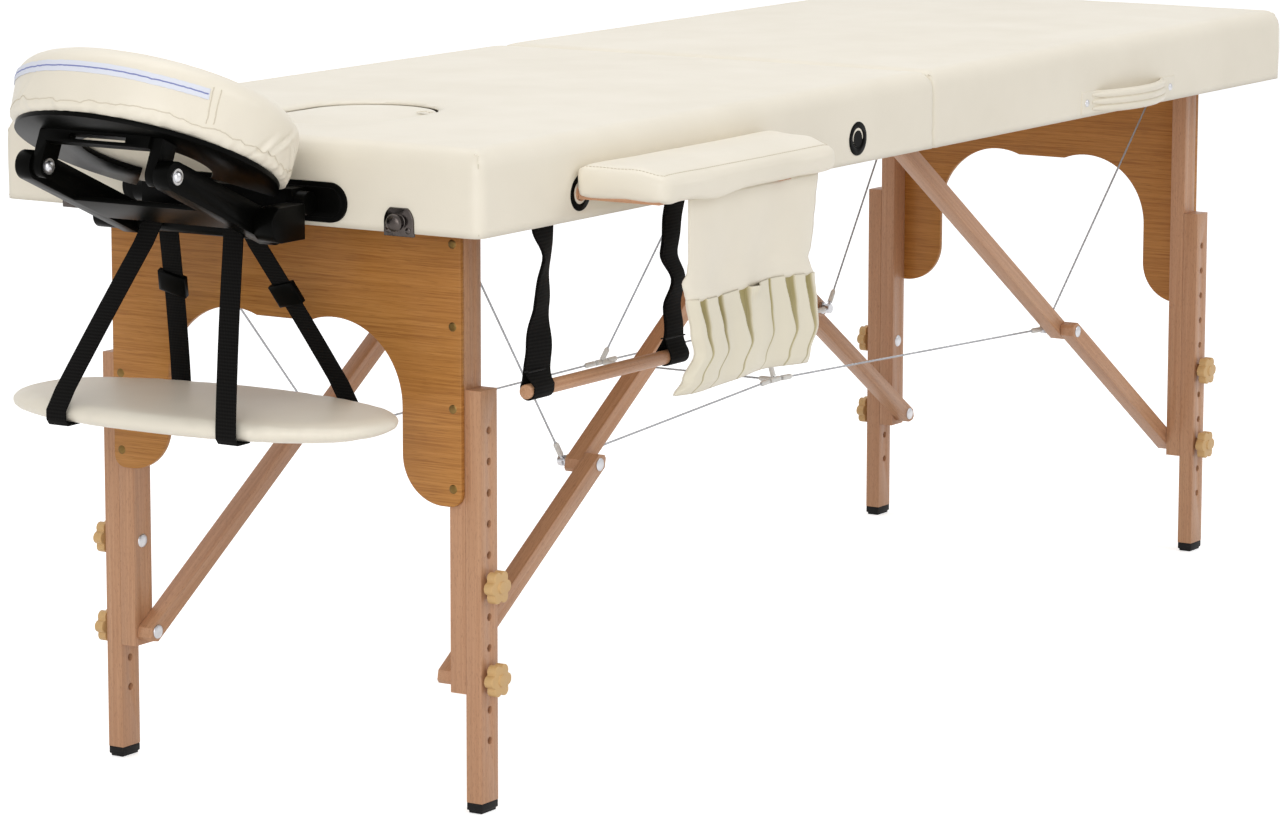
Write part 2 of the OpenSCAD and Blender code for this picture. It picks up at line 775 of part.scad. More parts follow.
// A link of square timber from its pivot at the origin along +X, with cut corners.
module link(l, y, bore_far) {
    cut = link_w * cut_share;
    translate([0, y, 0]) rotate([90, 0, 0]) mirror([0, 0, 1]) difference() {
        linear_extrude(link_w - gap) polygon([
            [-link_over, -link_w / 2 + cut], [-link_over + cut, -link_w / 2],
            [l + link_over - cut, -link_w / 2], [l + link_over, -link_w / 2 + cut],
            [l + link_over, link_w / 2 - cut], [l + link_over - cut, link_w / 2],
            [-link_over + cut, link_w / 2], [-link_over, link_w / 2 - cut]]);
        translate([0, 0, -over]) cylinder(d = bolt_d + 2 * bore_gap, h = link_w + 2 * over);
        if (bore_far) translate([l, 0, -over]) cylinder(d = bolt_d + 2 * bore_gap, h = link_w + 2 * over);
    }
}

module upper_link() {
    translate([-brace_x, 0, brace_z]) rotate([0, 180 - brace_a, 0]) link(upper_l, -upper_y + gap, true);
}

module lower_link() {
    translate([-leg_x, 0, low_bolt_z]) rotate([0, -brace_a, 0]) difference() {
        link(lower_l, -lower_y + gap, false);
        y_rod(0, -upper_y - head_t, 0, head_d + 2 * bore_gap, head_t + over);
    }
}

module head_upper_links() color(wood) placed() both_sides() upper_link();
module head_lower_links() color(wood) placed() both_sides() lower_link();
module foot_upper_links() color(wood) placed() foot_side() both_sides() upper_link();
module foot_lower_links() color(wood) placed() foot_side() both_sides() lower_link();

fork_t = 3;

// Knee bolt with the two cable eyes on its inner end.
module knee_bolt() {
    inner = upper_y - link_w;
    y_rod(-knee_x, -upper_y, knee_z, bolt_d, link_w + upper_y - link_w - cable_y + fork_t);
    y_rod(-knee_x, -inner + gap, knee_z, head_d, fork_t);
    y_rod(-knee_x, -cable_y - fork_t / 2, knee_z, head_d * 0.8, 2 * fork_t);
}

module head_knee_bolts() color(steel) placed() both_sides() knee_bolt();
module foot_knee_bolts() color(steel) placed() foot_side() both_sides() knee_bolt();

// ---- cables ----

anchor_out = 25;
anchor_y = 189;
ferrule_d = 7;
ferrule_l = 12;

// Cables of one half: one up to the leg's head, one along to the clips.
module half_cables() {
    start = head_d * 0.4;
    for (side = [[-1, near_clip_y], [1, far_clip_y]]) {
        s = side[0];
        knee = [-knee_x, s * cable_y, knee_z];
        anchor = [-leg_x - anchor_out, s * anchor_y, deck_z - cable_d / 2 - gap];
        up = (anchor - knee) / norm(anchor - knee);
        clip = [-ferrule_l, s * side[1], clip_z];
        along = (clip - knee) / norm(clip - knee);
        bar(knee + up * (start + gap), anchor, cable_d);
        bar(knee + along * (start + gap), clip, cable_d);
    }
}

module head_cables() color(steel) placed() half_cables();

module foot_cables() color(steel) placed() foot_side() half_cables();

// The clips, the cross cable between them and the two cables that hang them.
module centre_cables() color(steel) placed() {
    near = [0, -near_clip_y, clip_z];
    far = [0, far_clip_y, clip_z];
    eye = [0, 0, hinge_z - eye_r + cable_d + gap];
    for (c = [near, far]) x_rod(-ferrule_l + gap, c[1], clip_z, ferrule_d, 2 * ferrule_l - 2 * gap);
    bar(near, far, cable_d);
    for (c = [near, far]) {
        v = (c - eye) / norm(c - eye);
        bar(c, eye + v * eye_w, cable_d);
    }
}

// ---- face cradle ----

beam_w = 26;
lug_w = 7;
beam_h = 30;
post_in = 50;

// Beam with the two posts that plug into the table, and the tube of the cross rod.
module cradle_base() color(black) placed() {
    beam_x = -half_l - escutcheon_t - beam_w - over - 2 * gap;
    difference() {
        union() {
            translate([beam_x, -arm_y, under_h + cradle_post_h - beam_h / 2]) cube([beam_w, 2 * arm_y, beam_h]);
            for (s = [-1, 1]) y_rod(beam_x + beam_w / 2, s > 0 ? arm_y : -arm_y - beam_w / 2, under_h + cradle_post_h, beam_h * 0.8, beam_w / 2);
            for (s = [-1, 1]) x_rod(beam_x + over, s * cradle_post_y, under_h + cradle_post_h, cradle_post_d, beam_w + escutcheon_t + post_in);
            // two lugs carry the tube
            both_sides() translate([rod_x, arm_in - gap - lug_w, rod_z - tube_d / 2])
                cube([beam_x - rod_x + beam_w / 2, lug_w, tube_d]);
            y_rod(rod_x, -arm_in + gap, rod_z, tube_d, 2 * (arm_in - gap));
        }
        y_rod(rod_x, -2 * arm_y, rod_z, rod_d + 2 * bore_gap, 4 * arm_y);
    }
}

lever_l = 56;
lever_w = 36;
lever_t = 24;
lever_up = 9;
lever_back = 16;
cap_l = 34;

// Cam lever on the near end of the rod, and the round cap on its far end.
module cradle_lever() color(black) placed() {
    y_rod(rod_x, -arm_y - gap, rod_z, rod_d, 2 * (arm_y + gap));
    y_rod(rod_x, arm_y + gap, rod_z, tube_d + 2, cap_l);
    translate([rod_x + lever_back - lever_l + lever_w / 2, -arm_y - gap, rod_z + lever_up]) rotate([90, 0, 0]) {
        cylinder(d = lever_w, h = lever_t);
        translate([0, -lever_w / 2, 0]) cube([lever_l - lever_w / 2, lever_w, lever_t]);
    }
}

// Two arms, joined low down by a bridge, from the cross rod to the face plate.
module cradle_arms() color(black) placed() translate([rod_x, 0, rod_z]) rotate([0, arm_slope, 0]) {
    difference() {
        both_sides() {
            translate([-arm_l, arm_in, -arm_w / 2]) cube([arm_l, arm_t, arm_w]);
            y_rod(0, arm_in, 0, arm_w, arm_t);
            y_rod(-arm_l, arm_in, 0, arm_w, arm_t);
        }
        for (x = [0, -arm_l]) y_rod(x, -2 * arm_y, 0, rod_d + 2 * bore_gap, 4 * arm_y);
    }
    translate([-arm_l * 0.62, -arm_in - over, -arm_w / 2]) cube([arm_l * 0.34, 2 * (arm_in + over), plate_t]);
}

// Frame of the face plate: origin at its pivot, X along the plate, Z square to it.
module on_plate() { translate([arm_tip_x, 0, arm_tip_z]) rotate([0, plate_slope, 0]) children(); }

plate_gap_a = cushion_gap_a + 28;

module ring_sector(r) {
    a = plate_gap_a / 2;
    polygon([[0, 0], for (i = [0:6]) let (t = -a + i * a / 3) [r * cos(t), r * sin(t)]]);
}

module cradle_plate() color(black) placed() on_plate() {
    mid_r = (cushion_r + cushion_hole_r) / 2;
    rim = 12;
    translate([plate_ahead, 0, plate_rise - plate_t]) linear_extrude(plate_t) {
        difference() {
            circle(r = cushion_r - rim, $fn = 96);
            circle(r = cushion_hole_r + rim / 2, $fn = 96);
            ring_sector(2 * cushion_r);
        }
    }
    // cross piece with its slot
    translate([rim + plate_ahead - mid_r * 0.86, 0, plate_rise - plate_t]) difference() {
        translate([-rim / 2, -mid_r * 0.62, -rim]) cube([rim, mid_r * 1.24, rim + lamina]);
        translate([-rim, -mid_r * 0.34, -rim * 0.7]) cube([2 * rim, mid_r * 0.68, rim * 0.45]);
    }
    // ears inside the arms, with the pivot pins
    both_sides() {
        y_rod(0, arm_in - gap - ear_t, 0, arm_w * ear_share, ear_t);
        translate([-arm_w * ear_share / 2, arm_in - gap - ear_t, 0]) cube([arm_w * ear_share, ear_t, plate_rise - plate_t + lamina]);
        y_rod(0, arm_in - gap - ear_t, 0, rod_d, ear_t + arm_t + 2 * gap);
    }
}

// Section of the face cushion's roll: a slightly drawn-in side, a round shoulder
// and a low crown.
side_share = 0.6;
draw_share = 0.05;
function roll_half(u) = u < side_share ? 1 - draw_share * sin(180 * u / side_share)
    : sqrt(1 - 0.985 * pow((u - side_share) / (1 - side_share), 2));
roll_us = [0, 0.15, 0.3, 0.45, 0.6, 0.7, 0.8, 0.88, 0.95, 1];

module roll_section(half_t, both) {
    n = len(roll_us) - 1;
    polygon(concat(both ? [for (i = [n:-1:0]) [-half_t * roll_half(roll_us[i]), cushion_t * roll_us[i]]]
            : [[0, cushion_t], [0, 0]],
        [for (i = [0:n]) [half_t * roll_half(roll_us[i]), cushion_t * roll_us[i]]]));
}

module cradle_cushion() color(cream) placed() on_plate() translate([plate_ahead, 0, plate_rise + gap]) {
    mid_r = (cushion_r + cushion_hole_r) / 2;
    half_t = (cushion_r - cushion_hole_r) / 2;
    a = cushion_gap_a / 2 + asin(half_t / mid_r) * 0.9;
    rotate(a) rotate_extrude(angle = 360 - 2 * a, $fn = 48) translate([mid_r, 0]) roll_section(half_t, true);
    for (s = [-1, 1]) rotate(s * a) translate([mid_r, 0, 0]) rotate_extrude($fn = 32) roll_section(half_t, false);
}

// ---- arm shelf ----

// Plan of the shelf: an oblong with long cut corners.
module shelf_plan(inset) {
    l = shelf_l / 2 - inset;
    w = shelf_w / 2 - inset;
    flat_l = shelf_l * 0.26;
    tip_w = shelf_w * 0.09;
    polygon([[-w, -flat_l], [-tip_w, -l], [tip_w, -l], [w, -flat_l], [w, flat_l], [tip_w, l], [-tip_w, l], [-w, flat_l]]);
}

shelf_edge = 4;

module shelf_pad() color(cream) placed() translate([rod_x, 0, shelf_top]) hull() {
    for (l = [[-shelf_t, shelf_edge], [-shelf_t + shelf_edge, 0], [-shelf_edge, 0], [-lamina, shelf_edge], [over, 4 * shelf_edge]])
        translate([0, 0, l[0]]) linear_extrude(lamina) shelf_plan(l[1]);
}

// One run of webbing from the tube out to an edge of the shelf, round it and under it.
module strap_run(side) {
    r = tube_d / 2 + gap;
    x0 = side > 0 ? r : -r - strap_t;
    x1 = side * (shelf_w / 2 + gap) - (side > 0 ? 0 : strap_t);
    hull() {
        translate([x0, strap_top_y - strap_w / 2, rod_z - lamina]) cube([strap_t, strap_w, lamina]);
        translate([x1, strap_low_y - strap_w / 2, shelf_top]) cube([strap_t, strap_w, strap_t]);
    }
    translate([x1, strap_low_y - strap_w / 2, shelf_top - shelf_t - gap - strap_t])
        cube([strap_t, strap_w, shelf_t + 2 * strap_t]);
    translate([side > 0 ? x1 - strap_w : x1, strap_low_y - strap_w / 2, shelf_top - shelf_t - gap - strap_t])
        cube([strap_w + strap_t, strap_w, strap_t]);
}

module shelf_straps() color(black) placed() both_sides() translate([rod_x, 0, 0]) {
    r = tube_d / 2 + gap;
    difference() {
        y_rod(0, strap_top_y - strap_w / 2, rod_z, 2 * (r + strap_t), strap_w);
        y_rod(0, strap_top_y - strap_w, rod_z, 2 * r, 2 * strap_w);
        translate([-2 * r, strap_top_y - strap_w, rod_z - lamina - 2 * r]) cube([4 * r, 2 * strap_w, 2 * r]);
    }
    for (side = [-1, 1]) strap_run(side);
}

// ---- side armrest and tool pocket ----

module rest_plan(inset) {
    r = 10;
    x0 = -rest_x;
    x1 = -rest_x + rest_l;
    polygon([[x0 + inset, -rest_back - inset], [x1 - inset * 1.4, -rest_back - inset],
        [x1 - (rest_l - rest_outer_l) * 0.5 - inset, -rest_back - rest_w * 0.55],
        [x1 - (rest_l - rest_outer_l) - inset, -rest_back - rest_w + inset],
        [x0 + r, -rest_back - rest_w + inset], [x0 + inset, -rest_back - rest_w + r]]);
}

// Head-side face of each batten.
function batten_left(x) = x == grommet_xs[0] ? rest_x - batten_side : x + batten_w / 2;
batten_side = 2;
batten_show = 2;
batten_in = 14;

// The pad, with channels underneath that the battens lie in.
module armrest_pad() color(cream) placed() difference() {
    z0 = batten_z - batten_h / 2 + batten_show;
    e = rest_pad_t * 0.2;
    hull() for (l = [[0, 1], [e, 0], [rest_pad_t - e, 0], [rest_pad_t - e * 0.4, e * 0.6], [rest_pad_t - lamina, e * 2]])
        translate([0, 0, z0 + l[0]]) linear_extrude(lamina) rest_plan(l[1]);
    for (x = [grommet_xs[0], grommet_xs[1]])
        translate([-batten_left(x) - gap, -rest_back - rest_w + batten_in - gap, z0 - over])
            cube([batten_w + 2 * gap, rest_w, batten_h - batten_show + over + gap]);
    for (x = [grommet_xs[0], grommet_xs[1]])
        y_rod(-x, -rest_back - 2 * gap - over, batten_z, peg_d + 2 * gap, rest_w);
}

// Battens under the pad, with round pegs that enter two grommets.
module armrest_frame() color(wood) placed() for (x = [grommet_xs[0], grommet_xs[1]]) {
    translate([-batten_left(x), -rest_back - rest_w + batten_in, batten_z - batten_h / 2])
        cube([batten_w, rest_w - batten_in - gap, batten_h]);
    difference() {
        y_rod(-x, -rest_back - over, batten_z, peg_d, peg_l);
        translate([-x - peg_d, -rest_back - 2 * over, batten_z + batten_h / 2]) cube([2 * peg_d, 2 * over - gap, peg_d]);
    }
}

// Hanging cloth: a hem, a slightly waved sheet, and a strip of pressed pleats in front.
function sheet_y(u) = 3 * sin(360 * u + 40) + 2 * sin(900 * u);
function pleat_y(u) = pleat_d * (0.35 + 0.65 * abs(sin(180 * pleat_n * u))) + sheet_y(u);
pleat_steps = 48;

module cloth_plan(front) {
    n = pleat_steps;
    polygon([for (i = [0:n]) [pocket_w * i / n, front ? -pleat_y(i / n) - vinyl_t : -sheet_y(i / n) - vinyl_t],
        for (i = [n:-1:0]) [pocket_w * i / n, -sheet_y(i / n)]]);
}

module tool_pocket() color(cream) placed() translate([-pocket_x, -pocket_y, pocket_top]) {
    translate([0, 0, -pocket_l]) linear_extrude(pocket_l) cloth_plan(false);
    translate([0, 0, -pocket_l]) linear_extrude(pleat_l) cloth_plan(true);
}

// ---- paper-roll holder ----

module roll_straps() color(black) placed() for (i = [0, 1]) translate([-roll_x + i * roll_span, -roll_y, 0]) {
    r = dowel_d / 2 + gap;
    difference() {
        union() {
            x_rod(-roll_strap_w / 2, 0, roll_z, 2 * (r + strap_t), roll_strap_w);
            translate([-roll_strap_w / 2, -strap_t, roll_z]) cube([roll_strap_w, 2 * strap_t, under_h - roll_z - gap - strap_t]);
            x_rod(-roll_strap_w / 2, 0, under_h - gap - strap_t, 2 * strap_t, roll_strap_w);
        }
        x_rod(-roll_strap_w, 0, roll_z, 2 * r, 2 * roll_strap_w);
    }
}

module roll_dowel() color(wood) placed()
    x_rod(-roll_x - roll_strap_w / 2 - dowel_over, -roll_y, roll_z, dowel_d, roll_span + roll_strap_w + 2 * dowel_over);

head_frame();
head_deck();
head_upholstery();
head_fittings();
escutcheon();
head_catches();
head_trim();
foot_frame();
foot_deck();
foot_upholstery();
foot_fittings();
foot_catches();
foot_bumpers();
carry_handle();
hinge_pins();
centre_cables();
head_inner_posts();
head_panel();
head_leg_bolts();
foot_inner_posts();
foot_panel();
foot_leg_bolts();
head_upper_links();
head_lower_links();
head_knee_bolts();
foot_upper_links();
foot_lower_links();
foot_knee_bolts();
head_near_post();
head_far_post();
foot_near_post();
foot_far_post();
head_near_cap();
head_far_cap();
foot_near_cap();
foot_far_cap();
head_near_knob_low();
head_near_knob_high();
head_far_knob_low();
head_far_knob_high();
foot_near_knob_low();
foot_near_knob_high();
foot_far_knob_low();
foot_far_knob_high();
cradle_base();
cradle_lever();
cradle_arms();
cradle_plate();
cradle_cushion();
shelf_pad();
shelf_straps();
armrest_frame();
armrest_pad();
tool_pocket();
roll_dowel();
roll_straps();
face_plug();
head_cables();
foot_cables();
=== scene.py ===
import json
import math
import bpy
import bmesh
from mathutils import Matrix, Vector, noise
from mathutils.bvhtree import BVHTree


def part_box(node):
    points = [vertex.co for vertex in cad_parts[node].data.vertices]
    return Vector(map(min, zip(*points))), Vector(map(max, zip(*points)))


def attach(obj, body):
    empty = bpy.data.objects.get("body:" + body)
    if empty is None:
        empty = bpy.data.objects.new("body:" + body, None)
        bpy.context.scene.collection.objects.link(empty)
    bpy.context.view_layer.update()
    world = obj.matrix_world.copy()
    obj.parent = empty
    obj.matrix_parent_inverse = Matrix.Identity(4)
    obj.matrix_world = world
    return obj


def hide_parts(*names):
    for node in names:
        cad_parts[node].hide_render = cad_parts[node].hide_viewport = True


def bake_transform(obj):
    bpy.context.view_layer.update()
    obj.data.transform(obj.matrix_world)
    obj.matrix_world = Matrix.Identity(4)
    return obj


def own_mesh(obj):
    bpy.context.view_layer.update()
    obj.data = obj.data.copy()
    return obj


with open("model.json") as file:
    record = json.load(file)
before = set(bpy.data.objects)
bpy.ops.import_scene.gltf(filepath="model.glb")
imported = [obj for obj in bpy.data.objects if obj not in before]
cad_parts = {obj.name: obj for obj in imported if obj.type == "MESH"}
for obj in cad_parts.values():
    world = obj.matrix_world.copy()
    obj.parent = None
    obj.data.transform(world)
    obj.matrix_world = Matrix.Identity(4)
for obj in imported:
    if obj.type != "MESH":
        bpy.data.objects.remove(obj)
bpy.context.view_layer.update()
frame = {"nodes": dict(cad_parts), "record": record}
bodyOf = {n: b for b, names in frame["record"]["behaviour"]["bodies"].items() for n in names}
slotOf = {s["node"]: s["material_slot"] for s in frame["record"]["subparts"]}

# the middle of the open table, on the floor
tableCentre = Vector(((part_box("head_deck")[0].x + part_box("foot_deck")[1].x) / 2,
                      (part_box("head_deck")[0].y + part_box("head_deck")[1].y) / 2, 0))


def at(x, y, z):
    # a place in mm from the table's middle
    return Vector((x, y, z)) / 1000 + tableCentre


def sideName(side):
    return "Near" if side < 0 else "Far"


def linked(name, data):
    thing = bpy.data.objects.new(name, data)
    bpy.context.scene.collection.objects.link(thing)
    return thing


# camera
cameraSet = {"place": (-5059.8, -3097.1, 1292.1), "azimuth": -57.757, "elevation": 9.649, "roll": 0.085,
             "lens": 142.68, "sensor": 36, "farClip": 60}


def addCamera():
    az, el, roll = (math.radians(cameraSet[k]) for k in ("azimuth", "elevation", "roll"))
    back = Vector((math.sin(az) * math.cos(el), -math.cos(az) * math.cos(el), math.sin(el)))
    right = Vector((math.cos(az), math.sin(az), 0))
    up = back.cross(right)
    turnedRight = right * math.cos(roll) + up * math.sin(roll)
    turnedUp = up * math.cos(roll) - right * math.sin(roll)
    turn = Matrix((turnedRight, turnedUp, back)).transposed().to_4x4()
    camera = linked("camera", bpy.data.cameras.new("camera"))
    camera.matrix_world = Matrix.Translation(at(*cameraSet["place"])) @ turn
    camera.data.lens = cameraSet["lens"]
    camera.data.sensor_width = cameraSet["sensor"]
    camera.data.clip_end = cameraSet["farClip"]
    bpy.context.scene.camera = camera


addCamera()
print("camera ready")


# materials
def paint(r, g, b):
    # a screen colour of 0 to 255 as the shader's linear one
    return tuple(((c / 255 + 0.055) / 1.055) ** 2.4 if c > 10 else c / 255 / 12.92 for c in (r, g, b)) + (1,)


def grey(v):
    return (v, v, v, 1)


def newMaterial(name, sockets):
    material = bpy.data.materials.new(name)
    material.use_nodes = True
    surface = material.node_tree.nodes["Principled BSDF"]
    for socket, value in sockets.items():
        surface.inputs[socket].default_value = value
    return material, material.node_tree, surface


def addNode(tree, kind, sources=None, **values):
    made = tree.nodes.new(kind)
    for key, value in values.items():
        if key in made.inputs:
            made.inputs[key].default_value = value
        else:
            setattr(made, key, value)
    for key, source in (sources or {}).items():
        tree.links.new(source, made.inputs[key])
    return made


def colourRamp(tree, source, stops):
    # each stop is a place and a tint, or a place and one grey value
    made = addNode(tree, "ShaderNodeValToRGB", {"Fac": source})
    ramp = made.color_ramp
    for i, (place, tint) in enumerate(stops):
        stop = ramp.elements[i] if i < 2 else ramp.elements.new(place)
        stop.position = place
        stop.color = paint(*tint) if isinstance(tint, (tuple, list)) else grey(tint)
    return made.outputs["Color"]


def mixed(tree, factor, first, second):
    made = addNode(tree, "ShaderNodeMix", data_type="RGBA", blend_type="MIX")
    for index, value in ((0, factor), (6, first), (7, second)):
        if isinstance(value, bpy.types.NodeSocket):
            tree.links.new(value, made.inputs[index])
        else:
            made.inputs[index].default_value = value
    return made.outputs[2]


def objectCoordinates(tree, turn=(0, 0, 0), stretch=(1, 1, 1)):
    place = addNode(tree, "ShaderNodeTexCoord").outputs["Object"]
    if turn != (0, 0, 0):
        place = addNode(tree, "ShaderNodeMapping", {"Vector": place}, Rotation=turn).outputs["Vector"]
    return addNode(tree, "ShaderNodeMapping", {"Vector": place}, Scale=stretch).outputs["Vector"]


def noiseOn(tree, vector, scale, detail=3.0, roughness=0.55, distortion=0.0):
    return addNode(tree, "ShaderNodeTexNoise", {"Vector": vector}, Scale=scale, Detail=detail,
                   Roughness=roughness, Distortion=distortion).outputs["Fac"]


def bumped(tree, surface, height, strength, distance, below=None):
    sources = {"Height": height}
    if below is not None:
        sources["Normal"] = below
    made = addNode(tree, "ShaderNodeBump", sources, Strength=strength, Distance=distance)
    tree.links.new(made.outputs["Normal"], surface.inputs["Normal"])
    return made.outputs["Normal"]


# grain, clouds and flecks are stretched along x, y and z; a noise is its detail, roughness and distortion
woods = {
    "beech": {"roughness": 0.42, "gloss": 0.35, "coat": 0.08, "relief": (0.12, 0.0004),
              "grain": (5, 330, 330), "grainNoise": (4, 0.6, 0.6),
              "body": [(0.3, (178, 131, 96)), (0.7, (200, 155, 120))],
              "clouds": (3, 14, 14), "cloudShare": [(0.35, 0), (0.7, 0.35)], "cloudTint": (186, 136, 104),
              "flecks": (190, 1500, 1500), "fleckNoise": (1, 0.5), "fleckShare": [(0.6, 0), (0.68, 0.45)],
              "fleckTint": (142, 98, 68)},
    "veneer": {"roughness": 0.4, "gloss": 0.25, "coat": 0.06, "relief": (0.08, 0.0003),
               "grain": (60, 9, 420), "grainNoise": (4, 0.62, 0.5),
               "body": [(0.3, (152, 97, 42)), (0.52, (181, 124, 60)), (0.75, (197, 139, 74))],
               "clouds": (1, 6, 18), "cloudShare": [(0.3, 0), (0.75, 0.35)], "cloudTint": (167, 108, 48),
               "flecks": (300, 45, 1500), "fleckNoise": (1, 0.55), "fleckShare": [(0.6, 0), (0.7, 0.4)],
               "fleckTint": (126, 76, 32)}}


def woodMaterial(name, kind, turn=(0, 0, 0), body=None):
    w = woods[kind]
    material, tree, surface = newMaterial(name, {"Roughness": w["roughness"], "Specular IOR Level": w["gloss"],
                                                 "Coat Weight": w["coat"], "Coat Roughness": 0.25})
    grain = noiseOn(tree, objectCoordinates(tree, turn, w["grain"]), 1, *w["grainNoise"])
    flecks = noiseOn(tree, objectCoordinates(tree, turn, w["flecks"]), 1, *w["fleckNoise"])
    clouds = noiseOn(tree, objectCoordinates(tree, turn, w["clouds"]), 1, 2)
    base = colourRamp(tree, grain, body or w["body"])
    toned = mixed(tree, colourRamp(tree, clouds, w["cloudShare"]), base, paint(*w["cloudTint"]))
    flecked = mixed(tree, colourRamp(tree, flecks, w["fleckShare"]), toned, paint(*w["fleckTint"]))
    tree.links.new(flecked, surface.inputs["Base Color"])
    bumped(tree, surface, grain, *w["relief"])
    return material


def vinylMaterial(name, tint=(236, 228, 211), slitShadeTint=None):
    material, tree, surface = newMaterial(name, {"Roughness": 0.42, "Sheen Weight": 0.08,
                                                 "Sheen Roughness": 0.4})
    plain = objectCoordinates(tree)
    pebbles = addNode(tree, "ShaderNodeTexVoronoi", {"Vector": plain}, Scale=620.0, feature="F1")
    fine = noiseOn(tree, plain, scale=900, detail=2)
    soft = noiseOn(tree, plain, scale=9, detail=3)
    colour = colourRamp(tree, soft, [(0.3, [c - 5 for c in tint]), (0.7, tint)])
    # a tint given for the slits is painted shade, mixed in where the fold attribute is high
    if slitShadeTint:
        depth = addNode(tree, "ShaderNodeAttribute", attribute_name="fold").outputs["Fac"]
        colour = mixed(tree, depth, colour, paint(*slitShadeTint))
    tree.links.new(colour, surface.inputs["Base Color"])
    tree.links.new(colourRamp(tree, soft, [(0.3, 0.47), (0.7, 0.38)]), surface.inputs["Roughness"])
    low = bumped(tree, surface, pebbles.outputs["Distance"], strength=0.22, distance=0.00025)
    bumped(tree, surface, fine, strength=0.1, distance=0.00015, below=low)
    return material


def plasticMaterial(name, tint, roughness=0.4, grainStrength=0.12, gloss=0.4):
    material, tree, surface = newMaterial(name, {"Roughness": roughness, "Specular IOR Level": gloss})
    plain = objectCoordinates(tree)
    grain = noiseOn(tree, plain, scale=700, detail=2)
    wear = noiseOn(tree, plain, scale=24, detail=3)
    colour = colourRamp(tree, wear, [(0.35, tint), (0.75, [min(255, c + 3) for c in tint])])
    tree.links.new(colour, surface.inputs["Base Color"])
    bumped(tree, surface, grain, grainStrength, distance=0.0002)
    return material


def metalMaterial(name, tint, roughness=0.28, scratch=0.08):
    material, tree, surface = newMaterial(name, {"Metallic": 1.0})
    plain = objectCoordinates(tree)
    wear = noiseOn(tree, plain, scale=60, detail=4, roughness=0.6)
    colour = colourRamp(tree, wear, [(0.3, [c - 14 for c in tint]), (0.7, tint)])
    tree.links.new(colour, surface.inputs["Base Color"])
    dullness = colourRamp(tree, wear, [(0.3, roughness + 0.1), (0.7, roughness)])
    tree.links.new(dullness, surface.inputs["Roughness"])
    bumped(tree, surface, noiseOn(tree, plain, scale=500, detail=2), scratch, distance=0.0001)
    return material


def webbingMaterial(name, tint=(7, 6, 5)):
    # the strip's own UV: across in x, along in y, both in metres
    material, tree, surface = newMaterial(name, {"Roughness": 0.8, "Specular IOR Level": 0.08})
    flat = addNode(tree, "ShaderNodeUVMap", uv_map="weave").outputs["UV"]
    ribs = addNode(tree, "ShaderNodeTexWave", {"Vector": flat}, Scale=85.0, bands_direction="Y")
    cords = addNode(tree, "ShaderNodeTexWave", {"Vector": flat}, Scale=160.0, bands_direction="X")
    weave = mixed(tree, 0.5, ribs.outputs["Fac"], cords.outputs["Fac"])
    colour = colourRamp(tree, weave, [(0.2, tint), (0.9, [c + 18 for c in tint])])
    tree.links.new(colour, surface.inputs["Base Color"])
    bumped(tree, surface, weave, strength=0.5, distance=0.0004)
    return material


braceSlope = math.radians(33.59)
finishes = {
    "upright": woodMaterial("beechUpright", "beech", (0, math.pi / 2, 0)),
    "along": woodMaterial("beechAlong", "beech"),
    "across": woodMaterial("beechAcross", "beech", (0, 0, math.pi / 2)),
    "headBrace": woodMaterial("beechHeadBrace", "beech", (0, braceSlope, 0)),
    "footBrace": woodMaterial("beechFootBrace", "beech", (0, -braceSlope, 0)),
    "plywood": woodMaterial("birchPly", "beech", body=[(0.3, (206, 172, 128)), (0.7, (222, 192, 150))]),
    "veneer": woodMaterial("oakVeneer", "veneer"),
    "vinyl": vinylMaterial("creamVinyl"),
    # the pocket's strip, with painted shade in its slits
    "pocketVinylSlitShade": vinylMaterial("pocketVinylSlitShade", (229, 221, 200), (164, 151, 100)),
    "thread": plasticMaterial("stitchThread", (214, 205, 186), 0.7),
    "knob": plasticMaterial("knobPlastic", (206, 168, 114), 0.45),
    "black": plasticMaterial("blackPlastic", (5, 5, 4), 0.34, gloss=0.04),
    "rubber": plasticMaterial("blackRubber", (14, 13, 13), 0.6, 0.3, 0.2),
    "sleeve": plasticMaterial("whiteSleeve", (226, 226, 222), 0.45),
    "zipTape": plasticMaterial("zipTape", (222, 225, 236), 0.6, 0.3),
    "zip": plasticMaterial("zipCoil", (128, 136, 186), 0.6, 0.3),
    "nickel": metalMaterial("nickelSteel", (205, 205, 208)),
    "brass": metalMaterial("brassScrew", (124, 100, 60), 0.35),
    # chrome for the catches and their screws, its tint darkened as a painted reflection of dark surroundings
    "chrome": metalMaterial("chromePaintedDarkReflection", (88, 82, 79), 0.16),
    "cable": metalMaterial("cableSteel", (176, 178, 182), 0.35, 0.2),
    "webbing": webbingMaterial("blackWebbing"),
}
slotFinish = {"beech": "along", "plywood": "plywood", "veneer": "veneer", "cream_vinyl": "vinyl",
              "beige_plastic": "knob", "black_plastic": "black", "rubber_black": "rubber", "webbing": "black",
              "nickel": "nickel", "cable_steel": "cable"}
print("materials ready")


# shared makers
def dress(mesh, finish):
    mesh.materials.clear()
    mesh.materials.append(finishes[finish])


def meshOf(name, bm):
    data = bpy.data.meshes.new(name)
    bm.to_mesh(data)
    bm.free()
    return data


def addPiece(name, mesh, finish, body, replaces=(), sharp=35):
    data = meshOf(name, mesh) if isinstance(mesh, bmesh.types.BMesh) else mesh
    piece = linked(name, data)
    dress(data, finish)
    data.shade_smooth()
    if sharp:
        data.set_sharp_from_angle(angle=math.radians(sharp))
    if body:      # a piece without a body is left unattached
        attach(piece, body)
    if replaces:
        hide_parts(*replaces)
    return piece


